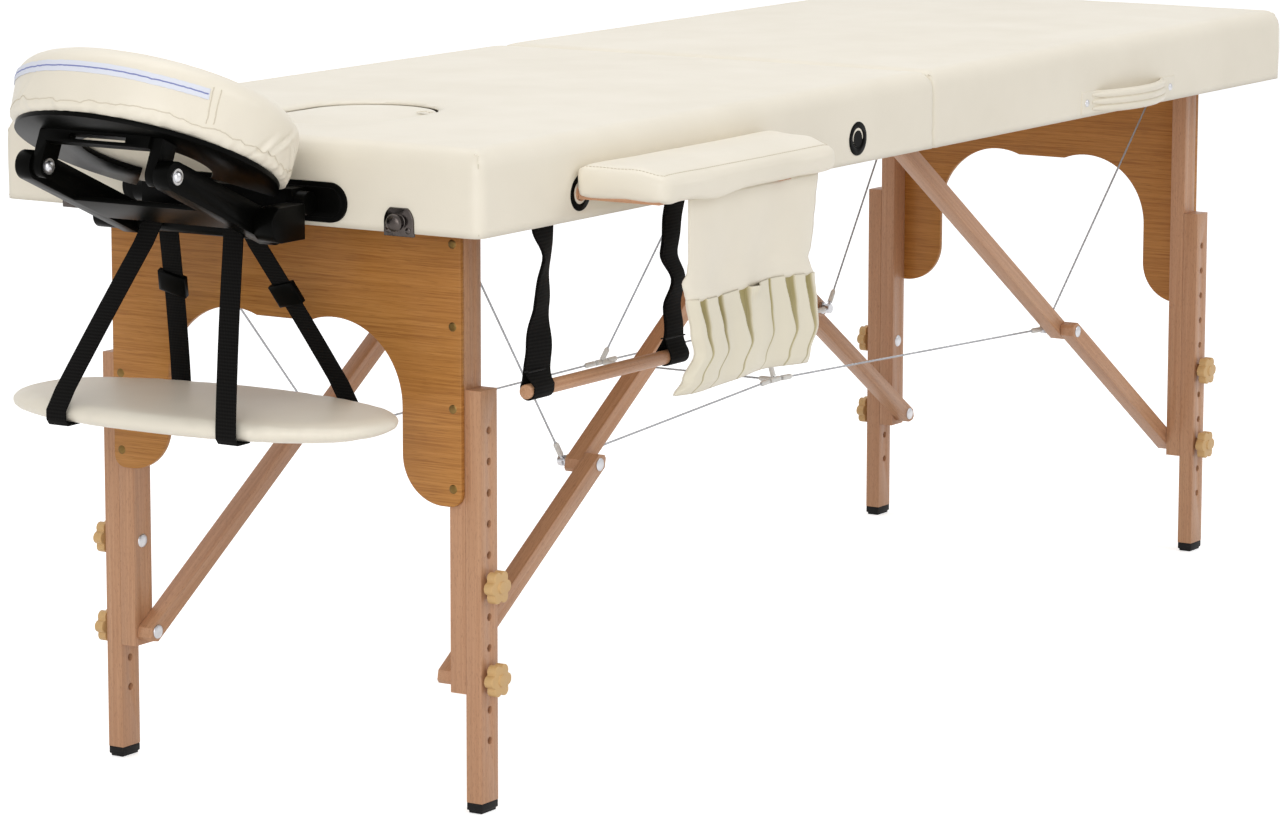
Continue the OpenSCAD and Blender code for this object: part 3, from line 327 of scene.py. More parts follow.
def bakeModifiers(piece):
    graph = bpy.context.evaluated_depsgraph_get()
    baked = bpy.data.meshes.new_from_object(piece.evaluated_get(graph), depsgraph=graph)
    piece.modifiers.clear()
    piece.data = baked


def thicken(piece, thickness, offset=0):
    wall = piece.modifiers.new("thickness", "SOLIDIFY")
    wall.thickness = thickness
    wall.offset = offset


def bevelEdges(bm, edges, offset, segments, clamp=True):
    bmesh.ops.bevel(bm, geom=edges, offset=offset, offset_type="OFFSET", affect="EDGES", segments=segments,
                    profile=0.5, material=-1, clamp_overlap=clamp)


def newVerts(made):
    return [g for g in made["geom"] if isinstance(g, bmesh.types.BMVert)]


def raiseOutline(bm, height):
    # a flat outline drawn up into a closed block
    grown = bmesh.ops.extrude_face_region(bm, geom=bm.faces[:])
    bmesh.ops.translate(bm, vec=(0, 0, height), verts=newVerts(grown))
    bmesh.ops.recalc_face_normals(bm, faces=bm.faces)


def turnTo(direction):
    return Vector((0, 0, 1)).rotation_difference(direction).to_matrix().to_4x4()


def easedNode(node, width, finish, segments=2, angle=50):
    # the CAD solid with its hard edges taken off
    bm = bmesh.new()
    bm.from_mesh(frame["nodes"][node].data)
    bmesh.ops.remove_doubles(bm, verts=bm.verts, dist=2e-6)
    bmesh.ops.dissolve_limit(bm, angle_limit=math.radians(1), verts=bm.verts, edges=bm.edges)
    hard = [e for e in bm.edges if e.is_manifold and e.calc_face_angle(0) > math.radians(angle)]
    bevelEdges(bm, hard, width / 1000, segments)
    return addPiece(node + "_eased", bm, finish, bodyOf[node], [node])


def ribbon(name, path, across, width, thickness, finish, body, replaces=()):
    # path in metres; across is one direction or one for each point
    bm = bmesh.new()
    sides = [across] * len(path) if isinstance(across, Vector) else across
    first = [bm.verts.new(path[0] + sides[0] * s * width / 2) for s in (-1, 1)]
    edge = bm.edges.new(first)
    weave = bm.loops.layers.uv.new("weave")
    along = {first[0]: 0.0, first[1]: 0.0}
    length = 0.0
    for i in range(1, len(path)):
        length += (path[i] - path[i - 1]).length
        grown = bmesh.ops.extrude_edge_only(bm, edges=[edge])
        fresh = newVerts(grown)
        lines = [g for g in grown["geom"] if isinstance(g, bmesh.types.BMEdge)]
        edge = [line for line in lines if all(v in fresh for v in line.verts)][0]
        for v in fresh:
            s = 1 if (v.co - path[i - 1]).dot(sides[i - 1]) > 0 else -1
            v.co = path[i] + sides[i] * s * width / 2
            along[v] = length
    for loop in (loop for face in bm.faces for loop in face.loops):
        v = loop.vert
        near = min(range(len(path)), key=lambda k: (path[k] - v.co).length)
        loop[weave].uv = ((v.co - path[near]).dot(sides[near]) + width / 2, along[v])
    bmesh.ops.recalc_face_normals(bm, faces=bm.faces)
    piece = addPiece(name, bm, finish, body, replaces, sharp=None)
    thicken(piece, thickness / 1000)
    rounded = piece.modifiers.new("webEdge", "BEVEL")
    rounded.width = thickness / 3500
    rounded.segments = 2
    rounded.limit_method = "ANGLE"
    bakeModifiers(piece)
    piece.data.set_sharp_from_angle(angle=math.radians(50))
    return piece


def fitRod(bm, start, end, radius, radiusEnd=None, sides=16):
    span = end - start
    place = Matrix.Translation((start + end) / 2) @ turnTo(span.normalized())
    bmesh.ops.create_cone(bm, cap_ends=True, segments=sides, radius1=radius, radius2=radiusEnd or radius,
                          depth=span.length, matrix=place)


def screwHead(bm, place, out, radius, rise, sides=14):
    # a low dome that faces along out
    low = Matrix.Diagonal((1, 1, rise / radius, 1))
    bmesh.ops.create_uvsphere(bm, u_segments=sides, v_segments=8, radius=radius,
                              matrix=Matrix.Translation(place) @ turnTo(out) @ low)


def remeshed(piece, voxel):
    even = piece.modifiers.new("even", "REMESH")
    even.mode = "VOXEL"
    even.voxel_size = voxel
    bakeModifiers(piece)


coverCloth = {"quality": 5, "mass": 0.3, "tension_stiffness": 12, "compression_stiffness": 12,
              "shear_stiffness": 5, "bending_stiffness": 0.4, "use_pressure": True}


def inflated(piece, pressure, cap, frames=16):
    # lets the foam push its cover out, each point by at most cap
    rest = [v.co.copy() for v in piece.data.vertices]
    cloth = piece.modifiers.new("foam", "CLOTH")
    for key, value in coverCloth.items():
        setattr(cloth.settings, key, value)
    cloth.settings.uniform_pressure_force = pressure
    cloth.settings.effector_weights.gravity = 0
    cloth.point_cache.frame_end = frames
    for step in range(1, frames + 1):
        bpy.context.scene.frame_set(step)
    graph = bpy.context.evaluated_depsgraph_get()
    moved = [v.co.copy() for v in piece.evaluated_get(graph).data.vertices]
    piece.modifiers.clear()
    for v, old, new in zip(piece.data.vertices, rest, moved):
        push = new - old
        v.co = old + (push if push.length < cap else push.normalized() * cap)
    bpy.context.scene.frame_set(1)


def smoothed(piece, rounds, levels):
    bm = bmesh.new()
    bm.from_mesh(piece.data)
    for turn in range(rounds):
        bmesh.ops.smooth_vert(bm, verts=bm.verts, factor=0.5, use_axis_x=True, use_axis_y=True, use_axis_z=True)
    bm.to_mesh(piece.data)
    bm.free()
    finer = piece.modifiers.new("finer", "SUBSURF")
    finer.levels = finer.render_levels = levels
    bakeModifiers(piece)
    piece.data.shade_smooth()


def puffed(piece, voxel, pressure, cap):
    remeshed(piece, voxel)
    inflated(piece, pressure, cap)
    smoothed(piece, rounds=3, levels=1)


def surfaceTree(piece):
    return BVHTree.FromObject(piece, bpy.context.evaluated_depsgraph_get())


def cordMesh(name, runs, radius, rings=1):
    # a round cord along each run of points, each with its share of the radius
    curve = bpy.data.curves.new(name, "CURVE")
    curve.dimensions = "3D"
    curve.bevel_depth = radius
    curve.bevel_resolution = rings
    curve.use_fill_caps = True
    for run in runs:
        line = curve.splines.new("POLY")
        line.points.add(len(run) - 1)
        for point, (spot, share) in zip(line.points, run):
            point.co = (*spot, 1)
            point.radius = share
    holder = bpy.data.objects.new(name + "_line", curve)
    mesh = bpy.data.meshes.new_from_object(holder)
    bpy.data.objects.remove(holder)
    return mesh


def seamOn(name, tree, path, radius, finish, body, lift=0.0, width=0.0):
    # a fine cord, or a flat tape where width is given, laid on a soft surface
    laid = []
    for p in path:
        spot, normal, index, gap = tree.find_nearest(p)
        laid.append((spot + normal * lift, normal))
    if not width:
        run = [(spot, 1.0) for spot, normal in laid]
        return addPiece(name, cordMesh(name, [run], radius), finish, body, sharp=None)
    points = [spot for spot, normal in laid]
    sides = []
    for i, (spot, normal) in enumerate(laid):
        ahead, behind = points[min(i + 1, len(points) - 1)], points[max(i - 1, 0)]
        sides.append(normal.cross((ahead - behind).normalized()).normalized())
    return ribbon(name, points, sides, width, radius * 2000, finish, body)


def stitchRow(name, tree, corners, body, step=4.2, thread=2.9, radius=0.0005):
    # single stitches along straight runs between corners in mm, laid on a soft surface
    bm = bmesh.new()
    for start, end in zip(corners, corners[1:]):
        start, end = Vector(start), Vector(end)
        count = int((end - start).length / step)
        for k in range(count):
            pair = []
            for part in (k, k + thread / step):
                spot, normal, index, gap = tree.find_nearest(at(*start.lerp(end, part / count)))
                pair.append(spot + normal * 0.0001)
            fitRod(bm, pair[0], pair[1], radius, sides=6)
    return addPiece(name, bm, "thread", body, sharp=None)


# table tops
topShape = {"length": 925, "width": 600, "low": 613, "high": 700, "crown": 3.2, "edge": 19, "corner": 9,
            "seamCorner": 6, "seamFace": 0.12, "cuts": (96, 66, 9), "skin": 1.6, "uneven": 0.7, "bulge": 1.1,
            "ripple": 0.9, "middle": 45, "pucker": 0.9, "seamDraw": 1.4, "seamDip": 1.5, "hingeTop": 622,
            "join": range(616, 692, 4), "joinIn": 2}
plugShape = {"place": (-722, 0), "length": 214, "width": 150, "gap": 0.5, "low": 664, "high": 700.5, "edge": 5.5,
             "swell": ((6, 0.4), (12, 0.7), (18, 0.7), (18, 0.3)), "cutLow": 550, "cutHigh": 800,
             "rimLow": 690, "rimReach": 14, "rimSink": 3}
skinSlack = 0.0006


def evenOut(u):
    # closer cells near both ends
    return u - 0.5 * math.sin(2 * math.pi * u) / (2 * math.pi)


def onEdge(radius, degrees):
    # how far in and how far down a point of the rounded edge lies
    angle = math.radians(degrees)
    return radius * (1 - math.sin(angle)), radius * (1 - math.cos(angle))


def topVertex(co, sign):
    # co runs over a unit block: x from the outer end to the seam, y across, z up
    t = topShape
    halfWidth = t["width"] / 2
    x, y = evenOut(co.x + 0.5) * t["length"], (evenOut(co.y + 0.5) - 0.5) * t["width"]
    deep = t["high"] - t["low"] - (co.z + 0.5) * (t["high"] - t["low"])
    toEnd, toSeam, toSide = x, t["length"] - x, halfWidth - abs(y)
    ring = min(toEnd, toSeam, toSide)
    edge = t["edge"]
    onTop = co.z > 0.4999
    inset, drop = 0.0, deep
    if onTop and ring < edge:
        inset, drop = onEdge(edge, 45 * (1 - ring / edge))
    elif onTop:
        inset, drop = ring, 0.0
    elif deep < edge:
        inset, drop = onEdge(edge, 45 + 45 * deep / edge)
    shift = inset - ring
    if abs(toSide - ring) < 1e-6:
        y -= math.copysign(shift, y)
    if abs(toEnd - ring) < 1e-6:
        x += shift
    if abs(toSeam - ring) < 1e-6:
        x -= shift
    # round the upright corners, ring by ring
    seamCornerX = t["length"] - t["seamCorner"]
    for cornerX, radius, way in ((t["corner"], t["corner"], -1), (seamCornerX, t["seamCorner"], 1)):
        across, outward = abs(y) - (halfWidth - radius), way * (x - cornerX)
        if across > 0 and outward > 0:
            scale = max(across, outward) / math.hypot(across, outward)
            x = cornerX + way * outward * scale
            y = math.copysign(halfWidth - radius + across * scale, y)
    swell = (1 - (2 * y / t["width"]) ** 2) * (1 - (2 * x / t["length"] - 1) ** 4)
    height = t["high"] - drop + (t["crown"] * swell if onTop else 0)
    # soft unevenness of the foam, and puckers that run out from the seam
    wave = noise.noise(Vector((x * 0.011, y * 0.011, height * 0.02 + sign * 7)))
    if onTop:
        height += t["uneven"] * wave * min(1, ring / 60)
    side = min(1, max(0, deep - 4) / 20) * max(0, 1 - abs(deep - t["middle"]) / t["middle"])
    push = 0 if onTop else t["bulge"] * side + t["ripple"] * side * wave
    fromSeam = max(0, t["length"] - x)
    pucker = math.sin(height * 0.33 + 2 * math.sin(x * 0.05)) * math.exp(-fromSeam / 26)
    if ring < 30 and toSide < 30:
        push += t["pucker"] * pucker - t["seamDraw"] * math.exp(-fromSeam / 8)
    if not onTop and toSide < 1e-6:
        y += math.copysign(push, y)
    elif not onTop and toEnd < 1e-6:
        x -= push
    if onTop:
        height -= t["seamDip"] * math.exp(-fromSeam / 9) + 0.5 * pucker * max(0, 1 - toSide / 120)
    x = min(x, t["length"] - t["seamFace"])
    return at(sign * (t["length"] - x), y, height)


def stadiumLoop(bm, centre, length, width, z, sides=64):
    made = bmesh.ops.create_circle(bm, cap_ends=True, segments=sides, radius=width / 2000)["verts"]
    for v in made:
        v.co.x += math.copysign((length - width) / 2000, v.co.x) if abs(v.co.x) > 1e-7 else 0
        v.co += Vector((centre.x, centre.y, z))


def outsidePlug(co):
    # how far a point lies outside the face hole, in mm
    x, y = (co.x - at(*plugShape["place"], 0).x) * 1000, (co.y - at(*plugShape["place"], 0).y) * 1000
    over = max(0, abs(x) - (plugShape["length"] - plugShape["width"]) / 2)
    return math.hypot(over, y) - plugShape["width"] / 2


def cutFaceHole(piece):
    p = plugShape
    bm = bmesh.new()
    stadiumLoop(bm, at(*p["place"], 0), p["length"], p["width"], at(0, 0, p["cutLow"]).z)
    raiseOutline(bm, (p["cutHigh"] - p["cutLow"]) / 1000)
    cutter = linked("faceHoleCut", meshOf("faceHoleCut", bm))
    hole = piece.modifiers.new("faceHole", "BOOLEAN")
    hole.operation = "DIFFERENCE"
    hole.object = cutter
    hole.solver = "EXACT"
    bakeModifiers(piece)
    bpy.data.objects.remove(cutter)


def openFaceHole(bm):
    # no wall in the hole, and a rim that draws in
    p = plugShape
    walls = []
    for face in bm.faces:
        middle = face.calc_center_median()
        if abs(face.normal.z) < 0.3 and middle.z < at(0, 0, p["low"]).z and abs(outsidePlug(middle)) < 2:
            walls.append(face)
    bmesh.ops.delete(bm, geom=walls, context="FACES")
    for v in bm.verts:
        away = outsidePlug(v.co)
        if v.co.z > at(0, 0, p["rimLow"]).z and -1 < away < p["rimReach"]:
            v.co.z -= p["rimSink"] / 1000 * (1 - max(0, away) / p["rimReach"]) ** 2.4


def buildTop(name, node, sign):
    bm = bmesh.new()
    bmesh.ops.create_cube(bm, size=1)
    for axis, cuts in zip(range(3), topShape["cuts"]):
        lines = [e for e in bm.edges if abs((e.verts[0].co - e.verts[1].co)[axis]) > 1e-6]
        bmesh.ops.subdivide_edges(bm, edges=lines, cuts=cuts, use_grid_fill=True)
    for v in bm.verts:
        v.co = topVertex(v.co, sign)
    if sign > 0:
        bmesh.ops.reverse_faces(bm, faces=bm.faces)
    piece = addPiece(name, bm, "vinyl", bodyOf[node], [node], sharp=None)
    if sign < 0:
        cutFaceHole(piece)
    bm = bmesh.new()
    bm.from_mesh(piece.data)
    # open underneath, where the rails and the deck are
    low = at(0, 0, topShape["low"]).z
    under = [f for f in bm.faces if all(v.co.z < low + skinSlack for v in f.verts)]
    bmesh.ops.delete(bm, geom=under, context="FACES")
    if sign < 0:
        openFaceHole(bm)
    # the seam face stays clear of the hinges below
    seamX, hingeTop = at(0, 0, 0).x, at(0, 0, topShape["hingeTop"]).z
    middles = [(f, f.calc_center_median()) for f in bm.faces]
    atHinge = [f for f, middle in middles if abs(middle.x - seamX) < skinSlack and middle.z < hingeTop]
    bmesh.ops.delete(bm, geom=atHinge, context="FACES")
    bmesh.ops.recalc_face_normals(bm, faces=bm.faces)
    bm.to_mesh(piece.data)
    bm.free()
    dress(piece.data, "vinyl")
    piece.data.shade_smooth()
    piece.data.set_sharp_from_angle(angle=math.radians(50))
    thicken(piece, topShape["skin"] / 1000, -1)
    bakeModifiers(piece)
    return piece


headTop = buildTop("headTop", "head_upholstery", -1)
footTop = buildTop("footTop", "foot_upholstery", 1)
for label, cover, sign in (("head", headTop, -1), ("foot", footTop, 1)):
    coverTree = surfaceTree(cover)
    for side in (-1, 1):
        joinX, joinY = topShape["length"] - topShape["joinIn"], topShape["width"] / 2 - topShape["joinIn"]
        join = [at(sign * joinX, side * joinY, z) for z in topShape["join"]]
        seamOn(label + "CornerJoin" + sideName(side), coverTree, join, 0.0007, "thread", label + "_half")
print("table tops ready")


def buildPlug():
    p = plugShape
    bm = bmesh.new()
    length, width = p["length"] - 2 * p["gap"], p["width"] - 2 * p["gap"]
    stadiumLoop(bm, at(*p["place"], 0), length, width, at(0, 0, p["low"]).z, 72)
    raiseOutline(bm, (p["high"] - p["low"]) / 1000)
    top = max(bm.faces, key=lambda f: f.calc_center_median().z)
    bevelEdges(bm, list(top.edges), p["edge"] / 1000, 4, clamp=False)
    for width, rise in p["swell"]:
        top = max((f for f in bm.faces if f.normal.z > 0.9), key=lambda f: f.calc_area())
        bmesh.ops.inset_region(bm, faces=[top], thickness=width / 1000, depth=rise / 1000,
                               use_even_offset=True)
    return addPiece("facePlug", bm, "vinyl", "plug", ["face_plug"], sharp=50)


plug = buildPlug()
# the pull tab's points are in mm out from the hub, and in height
tabShape = {"turn": -80, "run": [(58, 702.9), (63, 704.0), (69, 704.2), (74, 703.2)], "width": 0.009,
            "thickness": 1.0}
tabOut = Vector((math.cos(math.radians(tabShape["turn"])), math.sin(math.radians(tabShape["turn"])), 0))
tabHub = at(plugShape["place"][0] + (plugShape["length"] - plugShape["width"]) / 2, 0, 0)
ribbon("plugTab", [tabHub + tabOut * out / 1000 + Vector((0, 0, z / 1000)) for out, z in tabShape["run"]],
       Vector((-tabOut.y, tabOut.x, 0)), tabShape["width"], tabShape["thickness"], "vinyl", "plug")

# wood and plastic that keep their CAD solids' shape: finish and width of the eased edge in mm
easedWork = {
    "head_frame": ("along", 1.0), "foot_frame": ("along", 1.0),
    "head_inner_posts": ("upright", 1.6), "foot_inner_posts": ("upright", 1.6),
    "head_near_post": ("upright", 1.6), "head_far_post": ("upright", 1.6),
    "foot_near_post": ("upright", 1.6), "foot_far_post": ("upright", 1.6),
    "head_upper_links": ("headBrace", 1.4), "head_lower_links": ("headBrace", 1.4),
    "foot_upper_links": ("footBrace", 1.4), "foot_lower_links": ("footBrace", 1.4),
    "head_panel": ("veneer", 0.8), "foot_panel": ("veneer", 0.8), "armrest_frame": ("across", 0.8),
    "roll_dowel": ("along", 1.2), "escutcheon": ("black", 1.2), "head_catches": ("chrome", 0.8),
    "foot_catches": ("chrome", 0.8), "head_trim": ("black", 0.9), "foot_bumpers": ("rubber", 1.2),
    "cradle_base": ("black", 2.0), "cradle_lever": ("black", 2.5), "cradle_arms": ("black", 3.0),
    "cradle_plate": ("black", 1.5), "head_near_cap": ("rubber", 1.0), "head_far_cap": ("rubber", 1.0),
    "foot_near_cap": ("rubber", 1.0), "foot_far_cap": ("rubber", 1.0)}
for node, (finish, width) in easedWork.items():
    easedNode(node, width, finish)
for node in slotOf:
    if "knob" in node:
        easedNode(node, 1.8, "knob", segments=3, angle=60)
for node, slotName in slotOf.items():
    dress(frame["nodes"][node].data, slotFinish[slotName])
print("eased solids ready")


# padded pieces
def padFromPlan(name, outline, low, high, cornerRadius, edgeRadius, node, voxel, pressure, cap, inset=1.0):
    # outline in mm; the pad starts a little small and is puffed out to its CAD size
    bm = bmesh.new()
    bm.faces.new([bm.verts.new(at(x, y, low + inset)) for x, y in outline])
    raiseOutline(bm, (high - low - 2 * inset) / 1000)
    if cornerRadius:
        upright = [e for e in bm.edges if abs(e.verts[0].co.z - e.verts[1].co.z) > 0.005]
        bevelEdges(bm, upright, cornerRadius / 1000, 5)
    flat = [f for f in bm.faces if abs(f.normal.z) > 0.9]
    bevelEdges(bm, list({e for f in flat for e in f.edges}), edgeRadius / 1000, 4)
    piece = addPiece(name, bm, "vinyl", bodyOf[node], [node], sharp=None)
    puffed(piece, voxel, pressure, cap)
    dress(piece.data, "vinyl")
    return piece


# the sags under the near edge are place, half width and depth; the top rolls down towards that edge
restBack = 303.3
armrestShape = {"low": 637, "high": 671, "corner": 5, "edge": 7,
                "roll": 7, "rollFrom": -372, "rollWide": 42, "rollLow": 650,
                "outline": [(-760, -restBack - 1), (-760, -404), (-752, -414.5), (-412, -414.5), (-392, -365),
                            (-374, -restBack - 1)],
                "stitches": [(-753, -306), (-753, -400), (-747, -407.5), (-416, -407.5), (-399, -362),
                             (-382, -306)],
                "sags": ((-650, 42, 5), (-735, 14, 1.5)), "sagFrom": -385, "sagTop": 643}


def shapeArmrest(pad):
    a = armrestShape
    for v in pad.data.vertices:
        x, y, z = (v.co - tableCentre) * 1000
        if y < a["sagFrom"] and z < a["sagTop"]:
            sag = sum(deep * math.exp(-((x - place) / wide) ** 2) for place, wide, deep in a["sags"])
            v.co.z -= sag / 1000 * min(1, (a["sagTop"] - z) / 5) * min(1, (a["sagFrom"] - y) / 20)
        if z > a["rollLow"] and y < a["rollFrom"]:
            roll = min(1, (a["rollFrom"] - y) / a["rollWide"])
            v.co.z -= a["roll"] / 1000 * roll * roll * (3 - 2 * roll) * min(1, (z - a["rollLow"]) / 14)


armrestPad = padFromPlan("armrestPad", armrestShape["outline"], armrestShape["low"], armrestShape["high"],
                         armrestShape["corner"], armrestShape["edge"], "armrest_pad", 0.0045, 3, 0.0025)
shapeArmrest(armrestPad)
armrestRow = [(x, y, armrestShape["high"]) for x, y in armrestShape["stitches"]]
stitchRow("armrestStitches", surfaceTree(armrestPad), armrestRow, "armrest")

rodX, rodZ = -985, 614
shelfShape = {"halfLength": 226, "halfWidth": 108, "round": 2.5, "top": 431, "thickness": 18, "edge": 6,
              "crown": 3, "lift": 2.5, "points": 64}


def signedPower(value, power):
    return math.copysign(abs(value) ** power, value)


def shelfOutline():
    # a long lens with broad round ends
    s = shelfShape
    ring = []
    for k in range(s["points"]):
        turn = math.pi * k / (s["points"] / 2)
        ring.append((rodX + s["halfWidth"] * signedPower(math.cos(turn), 2 / s["round"]),
                     s["halfLength"] * signedPower(math.sin(turn), 2 / s["round"])))
    return ring


def shapeShelf(pad):
    # a crowned top, and an underside that rises at the rim
    s = shelfShape
    for v in pad.data.vertices:
        x, y, z = (v.co - at(rodX, 0, 0)) * 1000
        share = (abs(x) / s["halfWidth"]) ** s["round"] + (abs(y) / s["halfLength"]) ** s["round"]
        ring = min(1, share ** (1 / s["round"]))
        height = min(1, max(0, (z - s["top"] + s["thickness"]) / s["thickness"]))
        v.co.z += (s["crown"] * (1 - ring ** 2) * height + s["lift"] * ring ** 4 * (1 - height)) / 1000


shelfLow = shelfShape["top"] - shelfShape["thickness"]
shelfPad = padFromPlan("shelfPad", shelfOutline(), shelfLow, shelfShape["top"], 0, shelfShape["edge"],
                       "shelf_pad", 0.005, 3, 0.003)
shapeShelf(shelfPad)
print("armrest and shelf pads ready")

# face cushion, on the tilted plate; a crease is its turn and height, its lean, and its depth in mm
plateTilt = 24
armReach, armSlope = 177, math.radians(23.6)
tipX, tipZ = rodX - armReach * math.cos(armSlope), rodZ + armReach * math.sin(armSlope)
cushionShape = {"outer": 147, "inner": 62, "thick": 72, "gap": 52, "ahead": 67, "rise": 39.3, "lobeTurn": 21.6,
                "rows": [0, 0.03, 0.15, 0.3, 0.45, 0.6, 0.7, 0.78, 0.86, 0.92, 0.97, 1.0], "shoulder": 0.62,
                "waist": 0.05, "seat": 0.6, "gather": 0.4, "creaseTall": 14,
                "creases": [(-80, 30, 0.45, 3.0), (-66, 24, -0.5, 2.8), (-92, 16, 0.3, 2.2),
                            (60, 24, -0.5, 1.6), (150, 22, 0.3, 0.8), (205, 18, -0.4, 0.8)]}


def onPlate(x, y, z):
    # a point in mm on the face plate: x along it, z square to it
    turn = math.radians(plateTilt)
    return at(tipX + x * math.cos(turn) + z * math.sin(turn), y, tipZ - x * math.sin(turn) + z * math.cos(turn))


def plateMatrix(x, y, z):
    turn = Matrix.Rotation(math.radians(plateTilt), 4, "Y")
    return Matrix.Translation(onPlate(x, y, z)) @ turn


def rollSide(u):
    c = cushionShape
    if u < c["shoulder"]:
        return 1 - c["waist"] * math.sin(math.pi * u / c["shoulder"])
    return math.sqrt(max(0.0, 1 - ((u - c["shoulder"]) / (1 - c["shoulder"])) ** 2))


def rollSection(side, mid, half, thick):
    # one side of the roll's section, from the seat up on the outside and down on the inside
    rows = cushionShape["rows"]
    points = []
    for u in rows[::side]:
        w = rollSide(u) * (0.97 if u == 0 else 1)
        points.append(Vector((mid + side * half * w, 0, thick * u)))
    return points


def turned(angle):
    return Matrix.Rotation(angle, 3, "Z")


def buildFaceCushion():
    c = cushionShape
    mid, half = (c["outer"] + c["inner"]) / 2000, (c["outer"] - c["inner"]) / 2000 - 0.001
    thick = (c["thick"] - 1.5) / 1000
    start = math.radians(c["gap"] / 2 + c["lobeTurn"])
    bm = bmesh.new()
    # the inside leaves out the crown's point, which the outside has
    ring = rollSection(1, mid, half, thick) + rollSection(-1, mid, half, thick)[1:]
    verts = [bm.verts.new(p) for p in ring]
    edges = [bm.edges.new((a, b)) for a, b in zip(verts, verts[1:] + verts[:1])]
    bmesh.ops.rotate(bm, cent=(0, 0, 0), matrix=turned(start), verts=verts)
    bmesh.ops.spin(bm, geom=verts + edges, cent=(0, 0, 0), axis=(0, 0, 1), angle=2 * math.pi - 2 * start,
                   steps=72)
    for way in (1, -1):
        lobe = [bm.verts.new(p) for p in rollSection(1, mid, half, thick)]
        lines = [bm.edges.new((a, b)) for a, b in zip(lobe, lobe[1:])]
        bmesh.ops.rotate(bm, cent=(0, 0, 0), matrix=turned(way * start), verts=lobe)
        hub = Vector((mid * math.cos(way * start), mid * math.sin(way * start), 0))
        bmesh.ops.spin(bm, geom=lobe + lines, cent=hub, axis=(0, 0, 1), angle=-way * math.pi, steps=20)
    bmesh.ops.remove_doubles(bm, verts=bm.verts, dist=0.0008)
    bmesh.ops.holes_fill(bm, edges=[e for e in bm.edges if e.is_boundary], sides=400)
    bmesh.ops.recalc_face_normals(bm, faces=bm.faces)
    bmesh.ops.transform(bm, matrix=plateMatrix(c["ahead"], 0, c["rise"] + c["seat"]), verts=bm.verts)
    piece = addPiece("faceCushion", bm, "vinyl", "face_rest", ["cradle_cushion"], sharp=None)
    puffed(piece, 0.005, 3, 0.003)
    creaseCushion(piece, mid)
    dress(piece.data, "vinyl")
    return piece


def creaseCushion(piece, mid):
    # small gathers along the lower seam, and the larger creases
    c = cushionShape
    back = plateMatrix(c["ahead"], 0, c["rise"]).inverted()
    moves = []
    for v in piece.data.vertices:
        q = back @ v.co
        angle, outward = math.atan2(q.y, q.x), math.hypot(q.x, q.y) - mid
        sink = 0.0
        if outward > 0:
            low = math.exp(-((q.z - 0.003) / 0.007) ** 2)
            waves = math.sin(angle * 57) + 0.7 * math.sin(angle * 34 + 1)
            sink = c["gather"] / 1000 * low * waves * (0.6 + noise.noise(Vector((angle * 2.3, 0, 3))))
            for turn, height, lean, deep in c["creases"]:
                along = q.z * 1000 - height
                off = math.degrees(angle) - turn - lean * along
                fold = math.exp(-(off / 1.5) ** 2) - 0.7 * math.exp(-((off - 3) / 2) ** 2)
                sink += deep / 1000 * fold * math.exp(-(along / c["creaseTall"]) ** 2)
        moves.append(v.normal * sink)
    for v, move in zip(piece.data.vertices, moves):
        v.co -= move


faceCushion = buildFaceCushion()
cushionTree = surfaceTree(faceCushion)
# heights in mm, ends in degrees round the cushion
zipShape = {"height": 42, "ends": (124, 236), "coilEnds": (124.4, 235.6), "points": 80, "width": 0.011}
seamShape = {"height": 7, "ends": (42, 318), "points": 150, "joins": (122.6, 119.4, 237.4, 240.6),
             "joinHeights": range(12, 62, 3)}


def roundCushion(height, angle, radius=0.17):
    # a point just outside the cushion, at a height in mm and an angle in degrees
    a = math.radians(angle)
    place = plateMatrix(cushionShape["ahead"], 0, cushionShape["rise"] + height)
    return place @ Vector((radius * math.cos(a), radius * math.sin(a), 0))


def cushionRow(height, ends, count):
    first, last = ends
    return [roundCushion(height, first + (last - first) * i / (count - 1)) for i in range(count)]


tapeRow = cushionRow(zipShape["height"], zipShape["ends"], zipShape["points"])
coilRow = cushionRow(zipShape["height"], zipShape["coilEnds"], zipShape["points"])
seamRow = cushionRow(seamShape["height"], seamShape["ends"], seamShape["points"])
seamOn("zipTape", cushionTree, tapeRow, 0.0006, "zipTape", "face_rest", lift=0.0005, width=zipShape["width"])
seamOn("zipCoil", cushionTree, coilRow, 0.0009, "zip", "face_rest", lift=0.0007)
seamOn("cushionSeam", cushionTree, seamRow, 0.0006, "thread", "face_rest")
for k, angle in enumerate(seamShape["joins"]):
    upright = [roundCushion(height, angle) for height in seamShape["joinHeights"]]
    seamOn("cushionJoin%d" % k, cushionTree, upright, 0.0007, "thread", "face_rest")
print("face cushion ready")

# webbing of the arm shelf and the roll holder
strapShape = {"width": 25, "thickness": 1.8, "topY": 51, "lowY": 107, "inset": 5, "loop": 12.3, "bow": 1.5,
              "stand": 1.3, "under": 0.6, "below": 4, "tuck": (24, 4), "cornerDrop": 0.4, "cornerLift": 5,
              "buckleAt": 0.62}
buckleShape = {"size": (0.033, 0.026, 0.0062), "inset": 0.0045, "sink": 0.0012, "edge": 0.0009}
strapEdge = shelfShape["halfWidth"] + strapShape["stand"] - strapShape["inset"]


